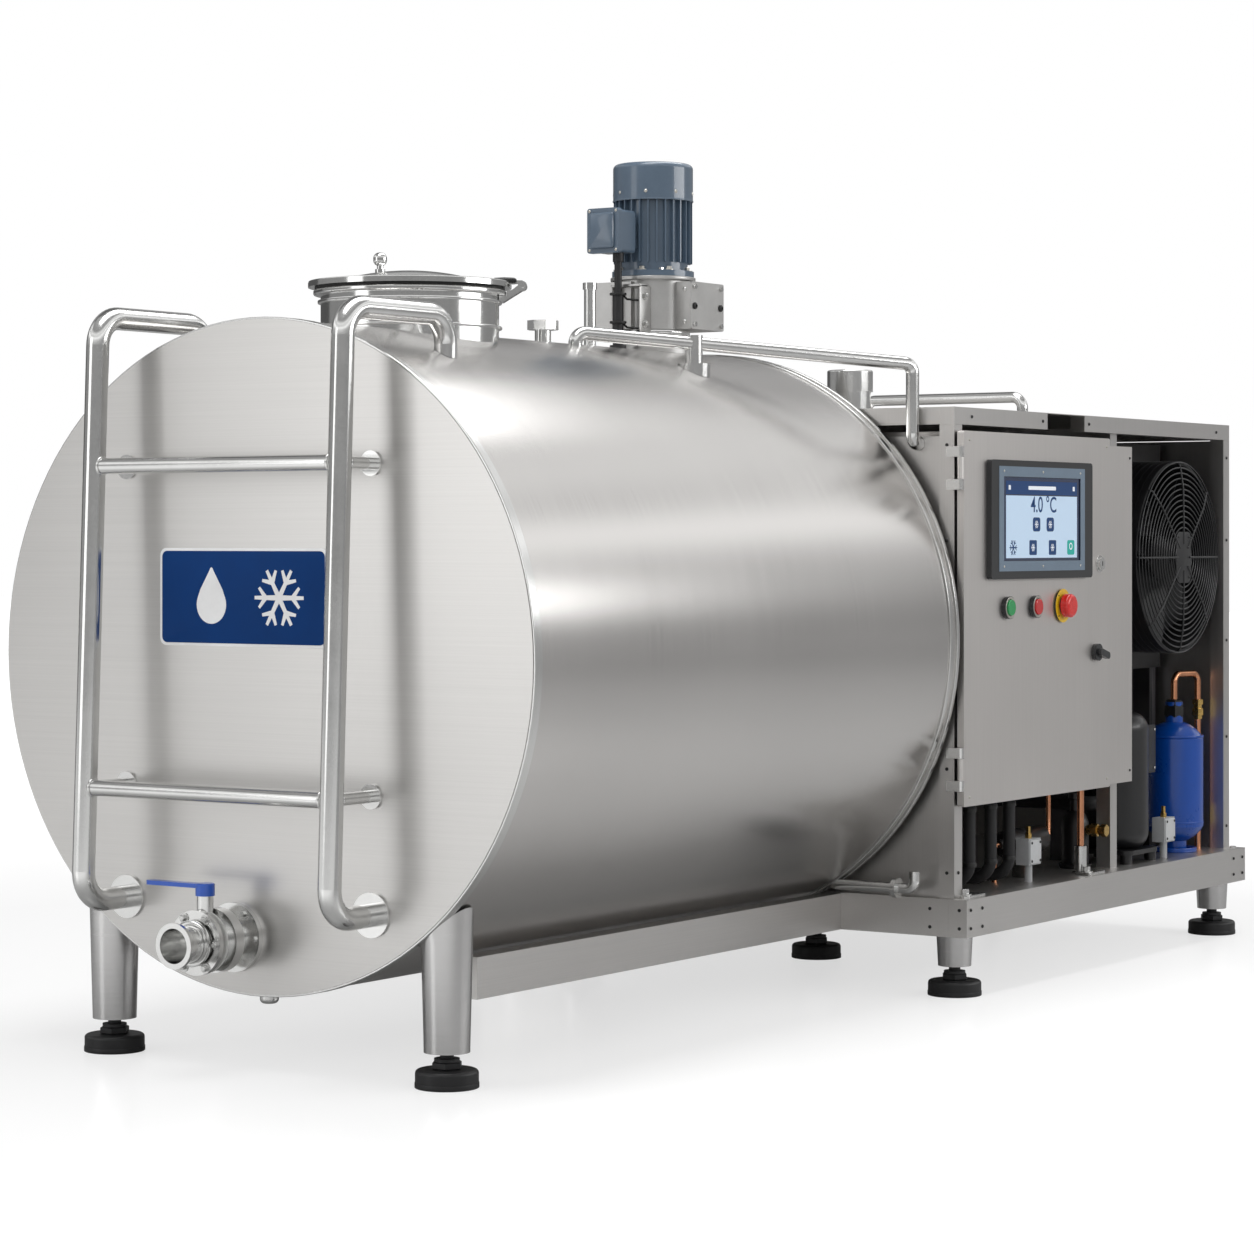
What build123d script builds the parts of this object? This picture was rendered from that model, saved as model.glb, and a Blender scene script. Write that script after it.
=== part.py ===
"""Bulk milk tank: an insulated horizontal tank with its refrigeration bay.

Millimetres. +X runs along the tank from its front end to the machine bay, -Y is
the control side, +Z is up. The origin is on the floor under the middle of the unit.
"""

from build123d import *
from math import acos, cos, hypot, pi, radians, sin, sqrt
import os

os.makedirs("parts", exist_ok=True)

# ---------------------------------------------------------------- driving sizes

# Tank body
tank_diameter = 1400
tank_length = 1772
tank_axis_z = 860
skin = 2
insulation_thickness = 60
vessel_wall = 3
jacket_thickness = 6
jacket_half_angle = 75
front_x = -1622

# Manhole, lid and its hinge
manhole_from_front = 525
neck_diameter = 392
neck_wall = 3
neck_rim_z = 1650
neck_rim_width = 16
neck_rim_thickness = 12
gasket_thickness = 5
lid_overhang = 27.5
lid_dome_rise = 34
lid_sheet = 4
hinge_direction = -56
hinge_beyond_lid = 24.5
hinge_pin_radius = 5
knob_offset = (-36, 55)

# Agitator drive
agitator_from_front = 1506
motor_diameter = 195
motor_flange_z = 1741
motor_top_z = 2017
cowl_height = 92
pedestal_diameter = 190
gearbox_diameter = 176
gearbox_floor_z = 1612
gearbox_wall = 8
gear_module = 2
pinion_teeth = 15
wheel_teeth = 60
gear_width = 16
countershaft_direction = -50
motor_shaft_radius = 9
agitator_shaft_radius = 14
paddle_reach = 185
paddle_z = 420

# Outlet and butterfly valve
outlet_radius = 38
outlet_wall = 2
outlet_y = 55
outlet_above_bottom = 116
valve_stem_reach = 98
outlet_reach = 197
valve_flange_radius = 67
lever_length = 156

# Ladder
ladder_y = 26
ladder_half_width = 328
stringer_radius = 24.15
stringer_wall = 2
rung_radius = 16.85
ladder_foot_z = 343
ladder_foot_reach = 140
ladder_top_reach = 92
ladder_top_z = 1571
ladder_back_reach = 250
rung_heights = (583, 1257)

# Base frame, legs and feet
beam_bottom_z = 147
beam_top_z = 235
beam_width = 50
base_half_width = 719
base_length = 1668
base_gap = 6
tray_thickness = 3
leg_top_radius = 55
leg_bottom_radius = 47
leg_bottom_z = 71
foot_radius = 64.5
foot_height = 37
spindle_radius = 14
collar_radius = 26
front_leg_from_front = 60
front_leg_y = 446

# Machine bay
bay_half_width = 680
bay_top_z = 1420
post_width = 40
sheet = 2

# Control box and its door
door_y = 705
door_depth = 18
door_from_base = 12
door_width = 810
door_bottom_z = 460
door_top_z = 1364
box_depth = 246
side_door_width = 144
door_gap = 6

# Clearances
weld_gap = 0.3
running_gap = 0.08
slide_gap = 0.3

# ---------------------------------------------------------------- derived places

tank_radius = tank_diameter / 2
tank_top_z = tank_axis_z + tank_radius
outlet_z = tank_axis_z - tank_radius + outlet_above_bottom
tank_axis = Axis((0, 0, tank_axis_z), (1, 0, 0))
rear_x = front_x + tank_length
vessel_radius = tank_radius - skin - insulation_thickness
vessel_front_x = front_x + skin + insulation_thickness
vessel_rear_x = rear_x - skin - insulation_thickness
manhole_x = front_x + manhole_from_front
neck_radius = neck_diameter / 2
lid_radius = neck_radius + lid_overhang
hinge_reach = lid_radius + hinge_beyond_lid
agitator_x = front_x + agitator_from_front
base_x = rear_x + base_gap
base_end_x = base_x + base_length
bay_floor_z = beam_top_z + tray_thickness
door_x = base_x + door_from_base
door_right_x = door_x + door_width
rail_outer_y = 372
rail_inner_y = rail_outer_y - beam_width


def shell_height(y, radius=tank_radius):
    """Height of the tank's outside at a distance y from its middle plane."""
    return tank_axis_z + sqrt(radius**2 - y**2)


# Fittings that pass through the top of the tank: (x, y, outer radius)
nozzle_x = front_x + 1036
nozzle_radius = 19
dipstick_x = front_x + 1231
dipstick_radius = 14
cip_radius = 16
cip_start = (front_x + 965, -140)
cip_end = (rear_x - 4, -577)
top_ports = [
    (manhole_x, 0, neck_radius),
    (nozzle_x, 0, nozzle_radius),
    (dipstick_x, 0, dipstick_radius),
    (agitator_x, 0, agitator_shaft_radius + 6),
    (cip_start[0], cip_start[1], cip_radius),
]


def cut_top_ports(depth):
    """Cut the holes for the top fittings down to a depth below the tank's top."""
    for x, y, radius in top_ports:
        with Locations((x, y, tank_top_z)):
            Cylinder(radius + weld_gap, 2 * depth, mode=Mode.SUBTRACT)


def cut_outlet_port(x_low, x_high):
    """Cut the outlet's hole through an end wall between two stations."""
    with Locations(Plane(origin=(x_low, outlet_y, outlet_z), z_dir=(1, 0, 0))):
        Cylinder(outlet_radius + weld_gap, x_high - x_low,
                 align=(Align.CENTER, Align.CENTER, Align.MIN), mode=Mode.SUBTRACT)


def drum(x_low, x_high, outer, inner, y=0, z=tank_axis_z):
    """A round tube or bar along X, between two stations."""
    with BuildPart() as ring:
        with BuildSketch(Plane.YZ.offset(x_low)):
            with Locations((y, z)):
                Circle(outer)
                if inner > 0:
                    Circle(inner, mode=Mode.SUBTRACT)
        extrude(amount=x_high - x_low)
    return ring.part


def post(x, y, z_low, z_high, outer, inner=0):
    """An upright round tube or bar between two heights."""
    with BuildPart() as ring:
        with BuildSketch(Plane.XY.offset(z_low)):
            with Locations((x, y)):
                Circle(outer)
                if inner > 0:
                    Circle(inner, mode=Mode.SUBTRACT)
        extrude(amount=z_high - z_low)
    return ring.part


def block(x_low, x_high, y_low, y_high, z_low, z_high):
    """A rectangular bar or sheet between two corners."""
    with BuildPart() as body:
        with Locations((x_low, y_low, z_low)):
            Box(x_high - x_low, y_high - y_low, z_high - z_low,
                align=(Align.MIN, Align.MIN, Align.MIN))
    return body.part


def bent_tube(route, bend_radius, outer, inner=0):
    """A tube that follows straight runs joined by arcs."""
    with BuildPart() as run:
        with BuildLine() as path:
            if len(route) > 2:
                FilletPolyline(*route, radius=bend_radius)
            else:
                Line(*route)
        with BuildSketch(Plane(origin=path.line @ 0, z_dir=path.line % 0)):
            Circle(outer)
            if inner > 0:
                Circle(inner, mode=Mode.SUBTRACT)
        sweep(path=path.line)
    return run.part


# ---------------------------------------------------------------- tank body

with BuildPart() as outer_shell:
    add(drum(front_x + skin, rear_x - skin, tank_radius, tank_radius - skin))
    cut_top_ports(insulation_thickness)
outer_shell.part.label = "outer_shell"
export_step(outer_shell.part, "parts/outer_shell.step")

# Two flat end sheets close the outer shell
with BuildPart() as end_plates:
    add(drum(front_x, front_x + skin, tank_radius, 0))
    add(drum(rear_x - skin, rear_x, tank_radius, 0))
    cut_outlet_port(front_x - skin, front_x + 2 * skin)
end_plates.part.label = "end_plates"
export_step(end_plates.part, "parts/end_plates.step")

# Rolled beads: one broad band at the front rim, two narrow ones at the rear
band_height = 4
front_band_width = 26
rear_band_width = 12
rear_band_gap = 22
with BuildPart() as rim_bands:
    band_inner = tank_radius + weld_gap
    for x_low, width in (
        (front_x + skin, front_band_width),
        (rear_x - rear_band_width, rear_band_width),
        (rear_x - 2 * rear_band_width - rear_band_gap, rear_band_width),
    ):
        add(drum(x_low, x_low + width, band_inner + band_height, band_inner))
    fillet(rim_bands.edges().filter_by(GeomType.CIRCLE).group_by(SortBy.RADIUS)[-1], 1.5)
rim_bands.part.label = "rim_bands"
export_step(rim_bands.part, "parts/rim_bands.step")

with BuildPart() as inner_vessel:
    add(drum(vessel_front_x, vessel_rear_x, vessel_radius, 0))
    add(drum(vessel_front_x + vessel_wall, vessel_rear_x - vessel_wall,
             vessel_radius - vessel_wall, 0), mode=Mode.SUBTRACT)
    cut_top_ports(tank_top_z - shell_height(neck_radius, vessel_radius) + 2 * vessel_wall)
    cut_outlet_port(vessel_front_x - vessel_wall, vessel_front_x + 2 * vessel_wall)
inner_vessel.part.label = "inner_vessel"
export_step(inner_vessel.part, "parts/inner_vessel.step")

# Dimple-plate evaporator, wrapped round the lower side of the vessel
jacket_margin = 120
jacket_outer = vessel_radius + weld_gap + jacket_thickness
with BuildPart() as evaporator_jacket:
    add(drum(vessel_front_x + jacket_margin, vessel_rear_x - jacket_margin,
             jacket_outer, vessel_radius + weld_gap))
    jacket_top_z = tank_axis_z - vessel_radius * cos(radians(jacket_half_angle))
    with Locations((0, 0, jacket_top_z + tank_radius)):
        Box(2 * tank_length + 2 * abs(front_x), tank_diameter, tank_diameter, mode=Mode.SUBTRACT)
evaporator_jacket.part.label = "evaporator_jacket"
export_step(evaporator_jacket.part, "parts/evaporator_jacket.step")

# Foam between the outer shell and the vessel, at both ends as well
with BuildPart() as insulation:
    add(drum(front_x + skin + weld_gap, rear_x - skin - weld_gap,
             tank_radius - skin - weld_gap, 0))
    add(drum(vessel_front_x - weld_gap, vessel_rear_x + weld_gap, vessel_radius + weld_gap, 0),
        mode=Mode.SUBTRACT)
    add(drum(vessel_front_x + jacket_margin - weld_gap, vessel_rear_x - jacket_margin + weld_gap,
             jacket_outer + weld_gap, 0), mode=Mode.SUBTRACT)
    cut_top_ports(2 * insulation_thickness)
    cut_outlet_port(front_x, vessel_front_x)
insulation.part.label = "insulation"
export_step(insulation.part, "parts/insulation.step")

# ---------------------------------------------------------------- manhole

with BuildPart() as manhole_neck:
    neck_foot_z = shell_height(neck_radius, vessel_radius) - vessel_wall
    with BuildSketch(Plane.XY.offset(neck_foot_z)):
        with Locations((manhole_x, 0)):
            Circle(neck_radius)
            Circle(neck_radius - neck_wall, mode=Mode.SUBTRACT)
    extrude(amount=neck_rim_z - neck_foot_z)
    with BuildSketch(Plane.XY.offset(neck_rim_z - neck_rim_thickness)):
        with Locations((manhole_x, 0)):
            Circle(neck_radius + neck_rim_width)
            Circle(neck_radius - neck_wall, mode=Mode.SUBTRACT)
    extrude(amount=neck_rim_thickness)
    outer_rim = manhole_neck.edges().filter_by(GeomType.CIRCLE).group_by(SortBy.RADIUS)[-1]
    fillet(outer_rim, neck_rim_thickness / 3)
manhole_neck.part.label = "manhole_neck"
export_step(manhole_neck.part, "parts/manhole_neck.step")

with BuildPart() as manhole_gasket:
    with BuildSketch(Plane.XY.offset(neck_rim_z)):
        with Locations((manhole_x, 0)):
            Circle(neck_radius + neck_rim_width - 3)
            Circle(neck_radius + 1, mode=Mode.SUBTRACT)
    extrude(amount=gasket_thickness)
manhole_gasket.part.label = "manhole_gasket"
export_step(manhole_gasket.part, "parts/manhole_gasket.step")

# Domed lid: an outer and an inner arc over a flat rim
lid_z = neck_rim_z + gasket_thickness + weld_gap
dome_radius = neck_radius - 4
with BuildPart() as manhole_lid:
    with BuildSketch(Plane.XZ):
        with BuildLine():
            inner_top = (manhole_x, lid_z + lid_dome_rise)
            inner_edge = (manhole_x + dome_radius, lid_z)
            outer_edge = (manhole_x + dome_radius, lid_z + lid_sheet)
            outer_top = (manhole_x, lid_z + lid_dome_rise + lid_sheet)
            Line(inner_top, outer_top)
            TangentArc(outer_top, outer_edge, tangent=(1, 0))
            Line(outer_edge, (manhole_x + lid_radius, lid_z + lid_sheet))
            Line((manhole_x + lid_radius, lid_z + lid_sheet), (manhole_x + lid_radius, lid_z))
            Line((manhole_x + lid_radius, lid_z), inner_edge)
            TangentArc(inner_top, inner_edge, tangent=(1, 0))
        make_face()
    revolve(axis=Axis((manhole_x, 0, 0), (0, 0, 1)))
    with BuildSketch(Plane.XY.offset(lid_z)):
        with Locations((manhole_x, 0)):
            Circle(lid_radius)
            Circle(lid_radius - 5, mode=Mode.SUBTRACT)
    extrude(amount=lid_sheet + 6)
manhole_lid.part.label = "manhole_lid"
export_step(manhole_lid.part, "parts/manhole_lid.step")

# Ball knob on a short stem on the dome
knob_x = manhole_x + knob_offset[0]
knob_y = knob_offset[1]
dome_curvature = (dome_radius**2 + lid_dome_rise**2) / (2 * lid_dome_rise)
knob_rise = sqrt(dome_curvature**2 - hypot(*knob_offset) ** 2) - (dome_curvature - lid_dome_rise)
knob_foot_z = lid_z + lid_sheet + knob_rise
knob_foot_radius = 11
knob_stem_radius = 7
knob_ball_radius = 15
knob_stem_height = 26


def knob_ball(x, y, z, radius):
    """A turned ball with small flats at its poles."""
    with BuildPart() as ball:
        add(post(x, y, z - radius, z + radius, radius))
        fillet(ball.edges().filter_by(GeomType.CIRCLE), radius * 0.85)
    return ball.part


with BuildPart() as lid_knob:
    with Locations((knob_x, knob_y, knob_foot_z)):
        Cylinder(knob_foot_radius, 8, align=(Align.CENTER, Align.CENTER, Align.MIN))
        Cylinder(knob_stem_radius, knob_stem_height,
                 align=(Align.CENTER, Align.CENTER, Align.MIN))
    knob_ball_z = knob_foot_z + knob_stem_height + 4
    add(knob_ball(knob_x, knob_y, knob_ball_z, knob_ball_radius))
    add(manhole_lid.part, mode=Mode.SUBTRACT)
lid_knob.part.label = "lid_knob"
export_step(lid_knob.part, "parts/lid_knob.step")

# The hinge lies at the rim, on a plane whose X points outwards from the neck
hinge_out = (cos(radians(hinge_direction)), sin(radians(hinge_direction)), 0)
hinge_z = lid_z + 5
hinge_plane = Plane(origin=(manhole_x, 0, hinge_z), x_dir=hinge_out, z_dir=(0, 0, 1))
hinge_cross = Plane(origin=(manhole_x, 0, hinge_z), x_dir=hinge_out,
                    z_dir=(hinge_out[1], -hinge_out[0], 0))
knuckle_radius = 10
knuckle_length = 26
ear_thickness = 8
knuckle_ear_gap = 0.5
hinge_pin_length = 62

# Arm on the lid's rim with the moving knuckle, and a black grip on top of it
arm_width = 22
arm_start = lid_radius - 26
with BuildPart() as lid_hinge_arm:
    with BuildSketch(hinge_plane.offset(lid_sheet + 6 - 5 + weld_gap)):
        with Locations(((arm_start + hinge_reach) / 2, 0)):
            Rectangle(hinge_reach - arm_start, arm_width)
    extrude(amount=7)
    with BuildSketch(hinge_cross.offset(-knuckle_length / 2)):
        with Locations((hinge_reach, 0)):
            Circle(knuckle_radius)
    extrude(amount=knuckle_length)
    with BuildSketch(hinge_cross.offset(-knuckle_length)):
        with Locations((hinge_reach, 0)):
            Circle(hinge_pin_radius + running_gap)
    extrude(amount=2 * knuckle_length, mode=Mode.SUBTRACT)
lid_hinge_arm.part.label = "lid_hinge_arm"
export_step(lid_hinge_arm.part, "parts/lid_hinge_arm.step")

# Two ears on the neck's rim and the pin that they hold
ear_inner = knuckle_length / 2 + knuckle_ear_gap
ear_foot = neck_radius + neck_rim_width
ear_drop = hinge_z - (neck_rim_z - neck_rim_thickness)
with BuildPart() as lid_hinge_bracket:
    for side in (1, -1):
        low = ear_inner if side > 0 else -ear_inner - ear_thickness
        with BuildSketch(hinge_cross.offset(low)):
            with Locations((hinge_reach, 0)):
                Circle(knuckle_radius)
            with BuildLine():
                Polyline((hinge_reach, -knuckle_radius), (ear_foot - 6, -ear_drop - 14),
                         (ear_foot - 6, -ear_drop - 0.5), (ear_foot + 1, -ear_drop),
                         (ear_foot + 1, -knuckle_radius - 2),
                         (lid_radius + 2, 1 - knuckle_radius),
                         (hinge_reach, knuckle_radius - 2), close=True)
            make_face()
        extrude(amount=ear_thickness)
    with BuildSketch(hinge_cross.offset(-hinge_pin_length / 2)):
        with Locations((hinge_reach, 0)):
            Circle(hinge_pin_radius)
    extrude(amount=hinge_pin_length)
    with BuildSketch(hinge_cross.offset(-ear_inner - ear_thickness)):
        with Locations((neck_radius + 6, -ear_drop - 7.5)):
            Rectangle(11, 13)
    extrude(amount=2 * (ear_inner + ear_thickness))
    add(manhole_neck.part, mode=Mode.SUBTRACT)
lid_hinge_bracket.part.label = "lid_hinge_bracket"
export_step(lid_hinge_bracket.part, "parts/lid_hinge_bracket.step")

# ---------------------------------------------------------------- small tank fittings

union_rise = 30
union_bottom_z = tank_top_z + union_rise
union_top_z = union_bottom_z + 22
union_radius = 37
drain_radius = 20
drain_x = front_x + 60
drain_y = 15
drain_bottom_z = 134
drain_line_x = rear_x - 32
drain_line_z = 262
drain_line_radius = 13
drain_line_end_y = -598
clamp_radius = 24

# Condensate stub under the front end, with a domed cap
with BuildPart() as drain_stub:
    add(post(drain_x, drain_y, drain_bottom_z, tank_axis_z - tank_radius + 8, drain_radius))
    fillet(drain_stub.edges().filter_by(GeomType.CIRCLE).group_by(Axis.Z)[0], drain_radius / 2)
    add(drum(front_x - skin, rear_x, tank_radius + weld_gap, 0), mode=Mode.SUBTRACT)

with BuildPart() as tank_fittings:
    # Capped sampling nozzle with its union nut
    add(post(nozzle_x, 0, shell_height(0, vessel_radius), union_top_z, nozzle_radius))
    with BuildSketch(Plane.XY.offset(union_bottom_z)):
        with Locations((nozzle_x, 0)):
            RegularPolygon(union_radius, 8)
    extrude(amount=union_top_z - union_bottom_z)
    # Dipstick tube with its cap
    dipstick_top_z = 1712
    add(post(dipstick_x, 0, shell_height(0, vessel_radius), dipstick_top_z, dipstick_radius))
    add(post(dipstick_x, 0, dipstick_top_z - 16, dipstick_top_z, dipstick_radius + 3))
    # Drain line along the rear rim, with a clamp union and an elbow at its end
    add(bent_tube([(drain_line_x, -rail_outer_y - 1, drain_line_z),
                   (drain_line_x, drain_line_end_y, drain_line_z),
                   (drain_line_x, drain_line_end_y, drain_line_z + 42)],
                  20, drain_line_radius))
    with BuildSketch(Plane.XZ.offset(-drain_line_end_y - 56)):
        with Locations((drain_line_x, drain_line_z)):
            Circle(clamp_radius)
    extrude(amount=12)
    add(drum(front_x - skin, rear_x + skin, tank_radius + band_height + 2 * weld_gap, 0),
        mode=Mode.SUBTRACT)
    add(post(nozzle_x, 0, shell_height(0, vessel_radius), union_bottom_z, nozzle_radius))
    add(post(dipstick_x, 0, shell_height(0, vessel_radius), union_bottom_z, dipstick_radius))
    add(drain_stub.part)
tank_fittings.part.label = "tank_fittings"
export_step(tank_fittings.part, "parts/tank_fittings.step")

# Cleaning pipe: from the tank's top it slopes to the bay's corner and drops to the side panel.
# Its tee carries a flanged leg on the shell, and a spray ball hangs inside the vessel.
cip_rise = 30
cip_high_z = shell_height(cip_start[1]) + cip_rise
cip_low_z = 1526
cip_bottom_z = 1334
cip_bend = 24
tee_share = 0.34
tee_x = cip_start[0] + tee_share * (cip_end[0] - cip_start[0])
tee_y = cip_start[1] + tee_share * (cip_end[1] - cip_start[1])
tee_z = cip_high_z + tee_share * (cip_low_z - cip_high_z)
tee_radius = 20
tee_flange_radius = 38
spray_ball_radius = 32
spray_ball_depth = 160
spray_ball_z = tank_top_z - spray_ball_depth
with BuildPart() as tee_leg:
    tee_foot_z = shell_height(tee_y)
    add(post(tee_x, tee_y, tee_foot_z - 40, tee_z + cip_radius + 3, tee_radius))
    add(post(tee_x, tee_y, tee_foot_z - 40, tee_foot_z + 14, tee_flange_radius))
    add(drum(front_x, rear_x, tank_radius + weld_gap, 0), mode=Mode.SUBTRACT)

# Ball with flattened poles, as it is pressed from two halves
with BuildPart() as spray_ball:
    add(post(cip_start[0], cip_start[1], spray_ball_z - spray_ball_radius,
             spray_ball_z + spray_ball_radius, spray_ball_radius))
    fillet(spray_ball.edges().filter_by(GeomType.CIRCLE), spray_ball_radius * 0.8)

with BuildPart() as cip_pipe:
    add(bent_tube([(cip_start[0], cip_start[1], spray_ball_z),
                   (cip_start[0], cip_start[1], cip_high_z),
                   (cip_end[0], cip_end[1], cip_low_z),
                   (cip_end[0], cip_end[1], cip_bottom_z),
                   (base_x + 34, cip_end[1], cip_bottom_z)], cip_bend, cip_radius))
    add(tee_leg.part)
    add(spray_ball.part)
cip_pipe.part.label = "cip_pipe"
export_step(cip_pipe.part, "parts/cip_pipe.step")

# ---------------------------------------------------------------- outlet and its valve

valve_x = front_x - valve_stem_reach
valve_half_length = 32
disc_radius = outlet_radius - outlet_wall - slide_gap
disc_thickness = 5
stem_radius = 7
plate_flange_radius = 72
with BuildPart() as outlet_pipe:
    add(drum(valve_x + valve_half_length, vessel_front_x + vessel_wall + 4,
             outlet_radius, outlet_radius - outlet_wall, outlet_y, outlet_z))
    add(drum(front_x - 12, front_x, plate_flange_radius, outlet_radius - outlet_wall,
             outlet_y, outlet_z))
    add(drum(valve_x + valve_half_length, valve_x + valve_half_length + 14,
             valve_flange_radius, outlet_radius - outlet_wall, outlet_y, outlet_z))
outlet_pipe.part.label = "outlet_pipe"
export_step(outlet_pipe.part, "parts/outlet_pipe.step")

bonnet_height = 94
bonnet_top_z = outlet_z + bonnet_height
with BuildPart() as valve_body:
    add(drum(valve_x - valve_half_length, valve_x + valve_half_length,
             outlet_radius + 16, 0, outlet_y, outlet_z))
    add(drum(valve_x + valve_half_length - 12, valve_x + valve_half_length,
             valve_flange_radius, 0, outlet_y, outlet_z))
    add(drum(valve_x - valve_half_length, valve_x - valve_half_length + 12,
             valve_flange_radius, 0, outlet_y, outlet_z))
    add(drum(front_x - outlet_reach, valve_x - valve_half_length,
             outlet_radius, 0, outlet_y, outlet_z))
    add(drum(front_x - outlet_reach, front_x - outlet_reach + 8,
             outlet_radius + 9, 0, outlet_y, outlet_z))
    add(post(valve_x, outlet_y, outlet_z, bonnet_top_z, stem_radius + 10))
    add(drum(front_x - outlet_reach, valve_x + valve_half_length,
             outlet_radius - outlet_wall, 0, outlet_y, outlet_z), mode=Mode.SUBTRACT)
    add(post(valve_x, outlet_y, outlet_z - outlet_radius - 6, bonnet_top_z,
             stem_radius + running_gap), mode=Mode.SUBTRACT)
valve_body.part.label = "valve_body"
export_step(valve_body.part, "parts/valve_body.step")

# The disc stands across the bore when the valve is shut
lever_z = bonnet_top_z + 14
with BuildPart() as valve_disc:
    with Locations((valve_x, outlet_y, outlet_z)):
        Sphere(disc_radius)
    add(block(valve_x - outlet_radius, valve_x - disc_thickness / 2,
              outlet_y - outlet_radius, outlet_y + outlet_radius,
              outlet_z - outlet_radius, outlet_z + outlet_radius), mode=Mode.SUBTRACT)
    add(block(valve_x + disc_thickness / 2, valve_x + outlet_radius,
              outlet_y - outlet_radius, outlet_y + outlet_radius,
              outlet_z - outlet_radius, outlet_z + outlet_radius), mode=Mode.SUBTRACT)
    add(post(valve_x, outlet_y, outlet_z - outlet_radius - 4, lever_z, stem_radius))
valve_disc.part.label = "valve_disc"
export_step(valve_disc.part, "parts/valve_disc.step")

# Lever: a cap on the stem with a flat handle that swells towards its end
lever_cap_radius = 20
lever_cap_height = 26
with BuildPart() as valve_lever:
    with BuildSketch(Plane.XY.offset(bonnet_top_z + 0.5)):
        with Locations((valve_x, outlet_y)):
            Circle(lever_cap_radius)
    extrude(amount=lever_cap_height)
    fillet(valve_lever.edges().group_by(Axis.Z)[-1], 4)
    with BuildSketch(Plane.XY.offset(lever_z + 2)):
        with Locations((valve_x, outlet_y + lever_length / 2)):
            SlotOverall(lever_length, 24, rotation=90)
    extrude(amount=9)
    add(post(valve_x, outlet_y, bonnet_top_z, lever_z + weld_gap, stem_radius + weld_gap),
        mode=Mode.SUBTRACT)
valve_lever.part.label = "valve_lever"
export_step(valve_lever.part, "parts/valve_lever.step")

# ---------------------------------------------------------------- ladder

stringer_ys = (ladder_y + ladder_half_width, ladder_y - ladder_half_width)
ladder_bend = 62
foot_flange_radius = 46
foot_flange_thickness = 6


def stringer_reach(z):
    """How far a stringer's middle stands in front of the end plate at a height."""
    share = (z - ladder_foot_z) / (ladder_top_z - ladder_foot_z)
    return ladder_foot_reach + share * (ladder_top_reach - ladder_foot_reach)


with BuildPart() as ladder_stringers:
    for y in stringer_ys:
        add(bent_tube([(front_x - foot_flange_thickness, y, ladder_foot_z),
                       (front_x - ladder_foot_reach, y, ladder_foot_z),
                       (front_x - ladder_top_reach, y, ladder_top_z),
                       (front_x + ladder_back_reach, y, ladder_top_z),
                       (front_x + ladder_back_reach, y, shell_height(y) - 60)],
                      ladder_bend, stringer_radius, stringer_radius - stringer_wall))
    add(drum(front_x, rear_x, tank_radius + weld_gap, 0), mode=Mode.SUBTRACT)
ladder_stringers.part.label = "ladder_stringers"
export_step(ladder_stringers.part, "parts/ladder_stringers.step")

# Rungs between the stringers, and the stand-offs that hold the stringers to the plate
standoff_radius = 13
standoff_flange_radius = 26
with BuildPart() as ladder_rungs:
    for z in rung_heights:
        with BuildSketch(Plane.XZ.offset(-stringer_ys[0])):
            with Locations((front_x - stringer_reach(z), z)):
                Circle(rung_radius)
        extrude(amount=2 * ladder_half_width)
        for y in stringer_ys:
            add(drum(front_x - stringer_reach(z), front_x - foot_flange_thickness,
                     standoff_radius, 0, y, z))
            add(drum(front_x - foot_flange_thickness, front_x - weld_gap,
                     standoff_flange_radius, 0, y, z))
    for y in stringer_ys:
        add(drum(front_x - foot_flange_thickness, front_x - weld_gap,
                 foot_flange_radius, 0, y, ladder_foot_z))
        add(bent_tube([(front_x - foot_flange_thickness, y, ladder_foot_z),
                       (front_x - ladder_foot_reach, y, ladder_foot_z),
                       (front_x - ladder_top_reach, y, ladder_top_z),
                       (front_x + ladder_back_reach, y, ladder_top_z)],
                      ladder_bend, stringer_radius + weld_gap), mode=Mode.SUBTRACT)
ladder_rungs.part.label = "ladder_rungs"
export_step(ladder_rungs.part, "parts/ladder_rungs.step")

# ---------------------------------------------------------------- frame, legs and feet

corner_inset = 70
front_leg_x = front_x + front_leg_from_front
rail_foot = (rear_x - 82, rail_outer_y - beam_width / 2)
frame_feet = [
    (base_x + corner_inset, -base_half_width + corner_inset),
    (base_x + corner_inset, base_half_width - corner_inset),
    (base_end_x - corner_inset, -base_half_width + corner_inset),
    (base_end_x - corner_inset, base_half_width - corner_inset),
    (base_x + 518, 0),
    (base_x + 1512, 0),
    rail_foot,
]
front_feet = [(front_leg_x, front_leg_y), (front_leg_x, -front_leg_y)]
short_leg_radius = 40
short_leg_top_radius = 44

with BuildPart() as legs:
    for x, y in front_feet:
        leg_top_z = tank_axis_z - sqrt(tank_radius**2 - (abs(y) + leg_top_radius) ** 2)
        with Locations((x, y, leg_bottom_z)):
            Cone(leg_bottom_radius, leg_top_radius, leg_top_z - leg_bottom_z,
                 align=(Align.CENTER, Align.CENTER, Align.MIN))
    for x, y in frame_feet:
        with Locations((x, y, leg_bottom_z)):
            Cone(short_leg_radius, short_leg_top_radius, beam_bottom_z - leg_bottom_z,
                 align=(Align.CENTER, Align.CENTER, Align.MIN))
    add(drum(front_x - skin, rear_x, tank_radius + weld_gap + band_height, 0), mode=Mode.SUBTRACT)
legs.part.label = "legs"
export_step(legs.part, "parts/legs.step")

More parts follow.
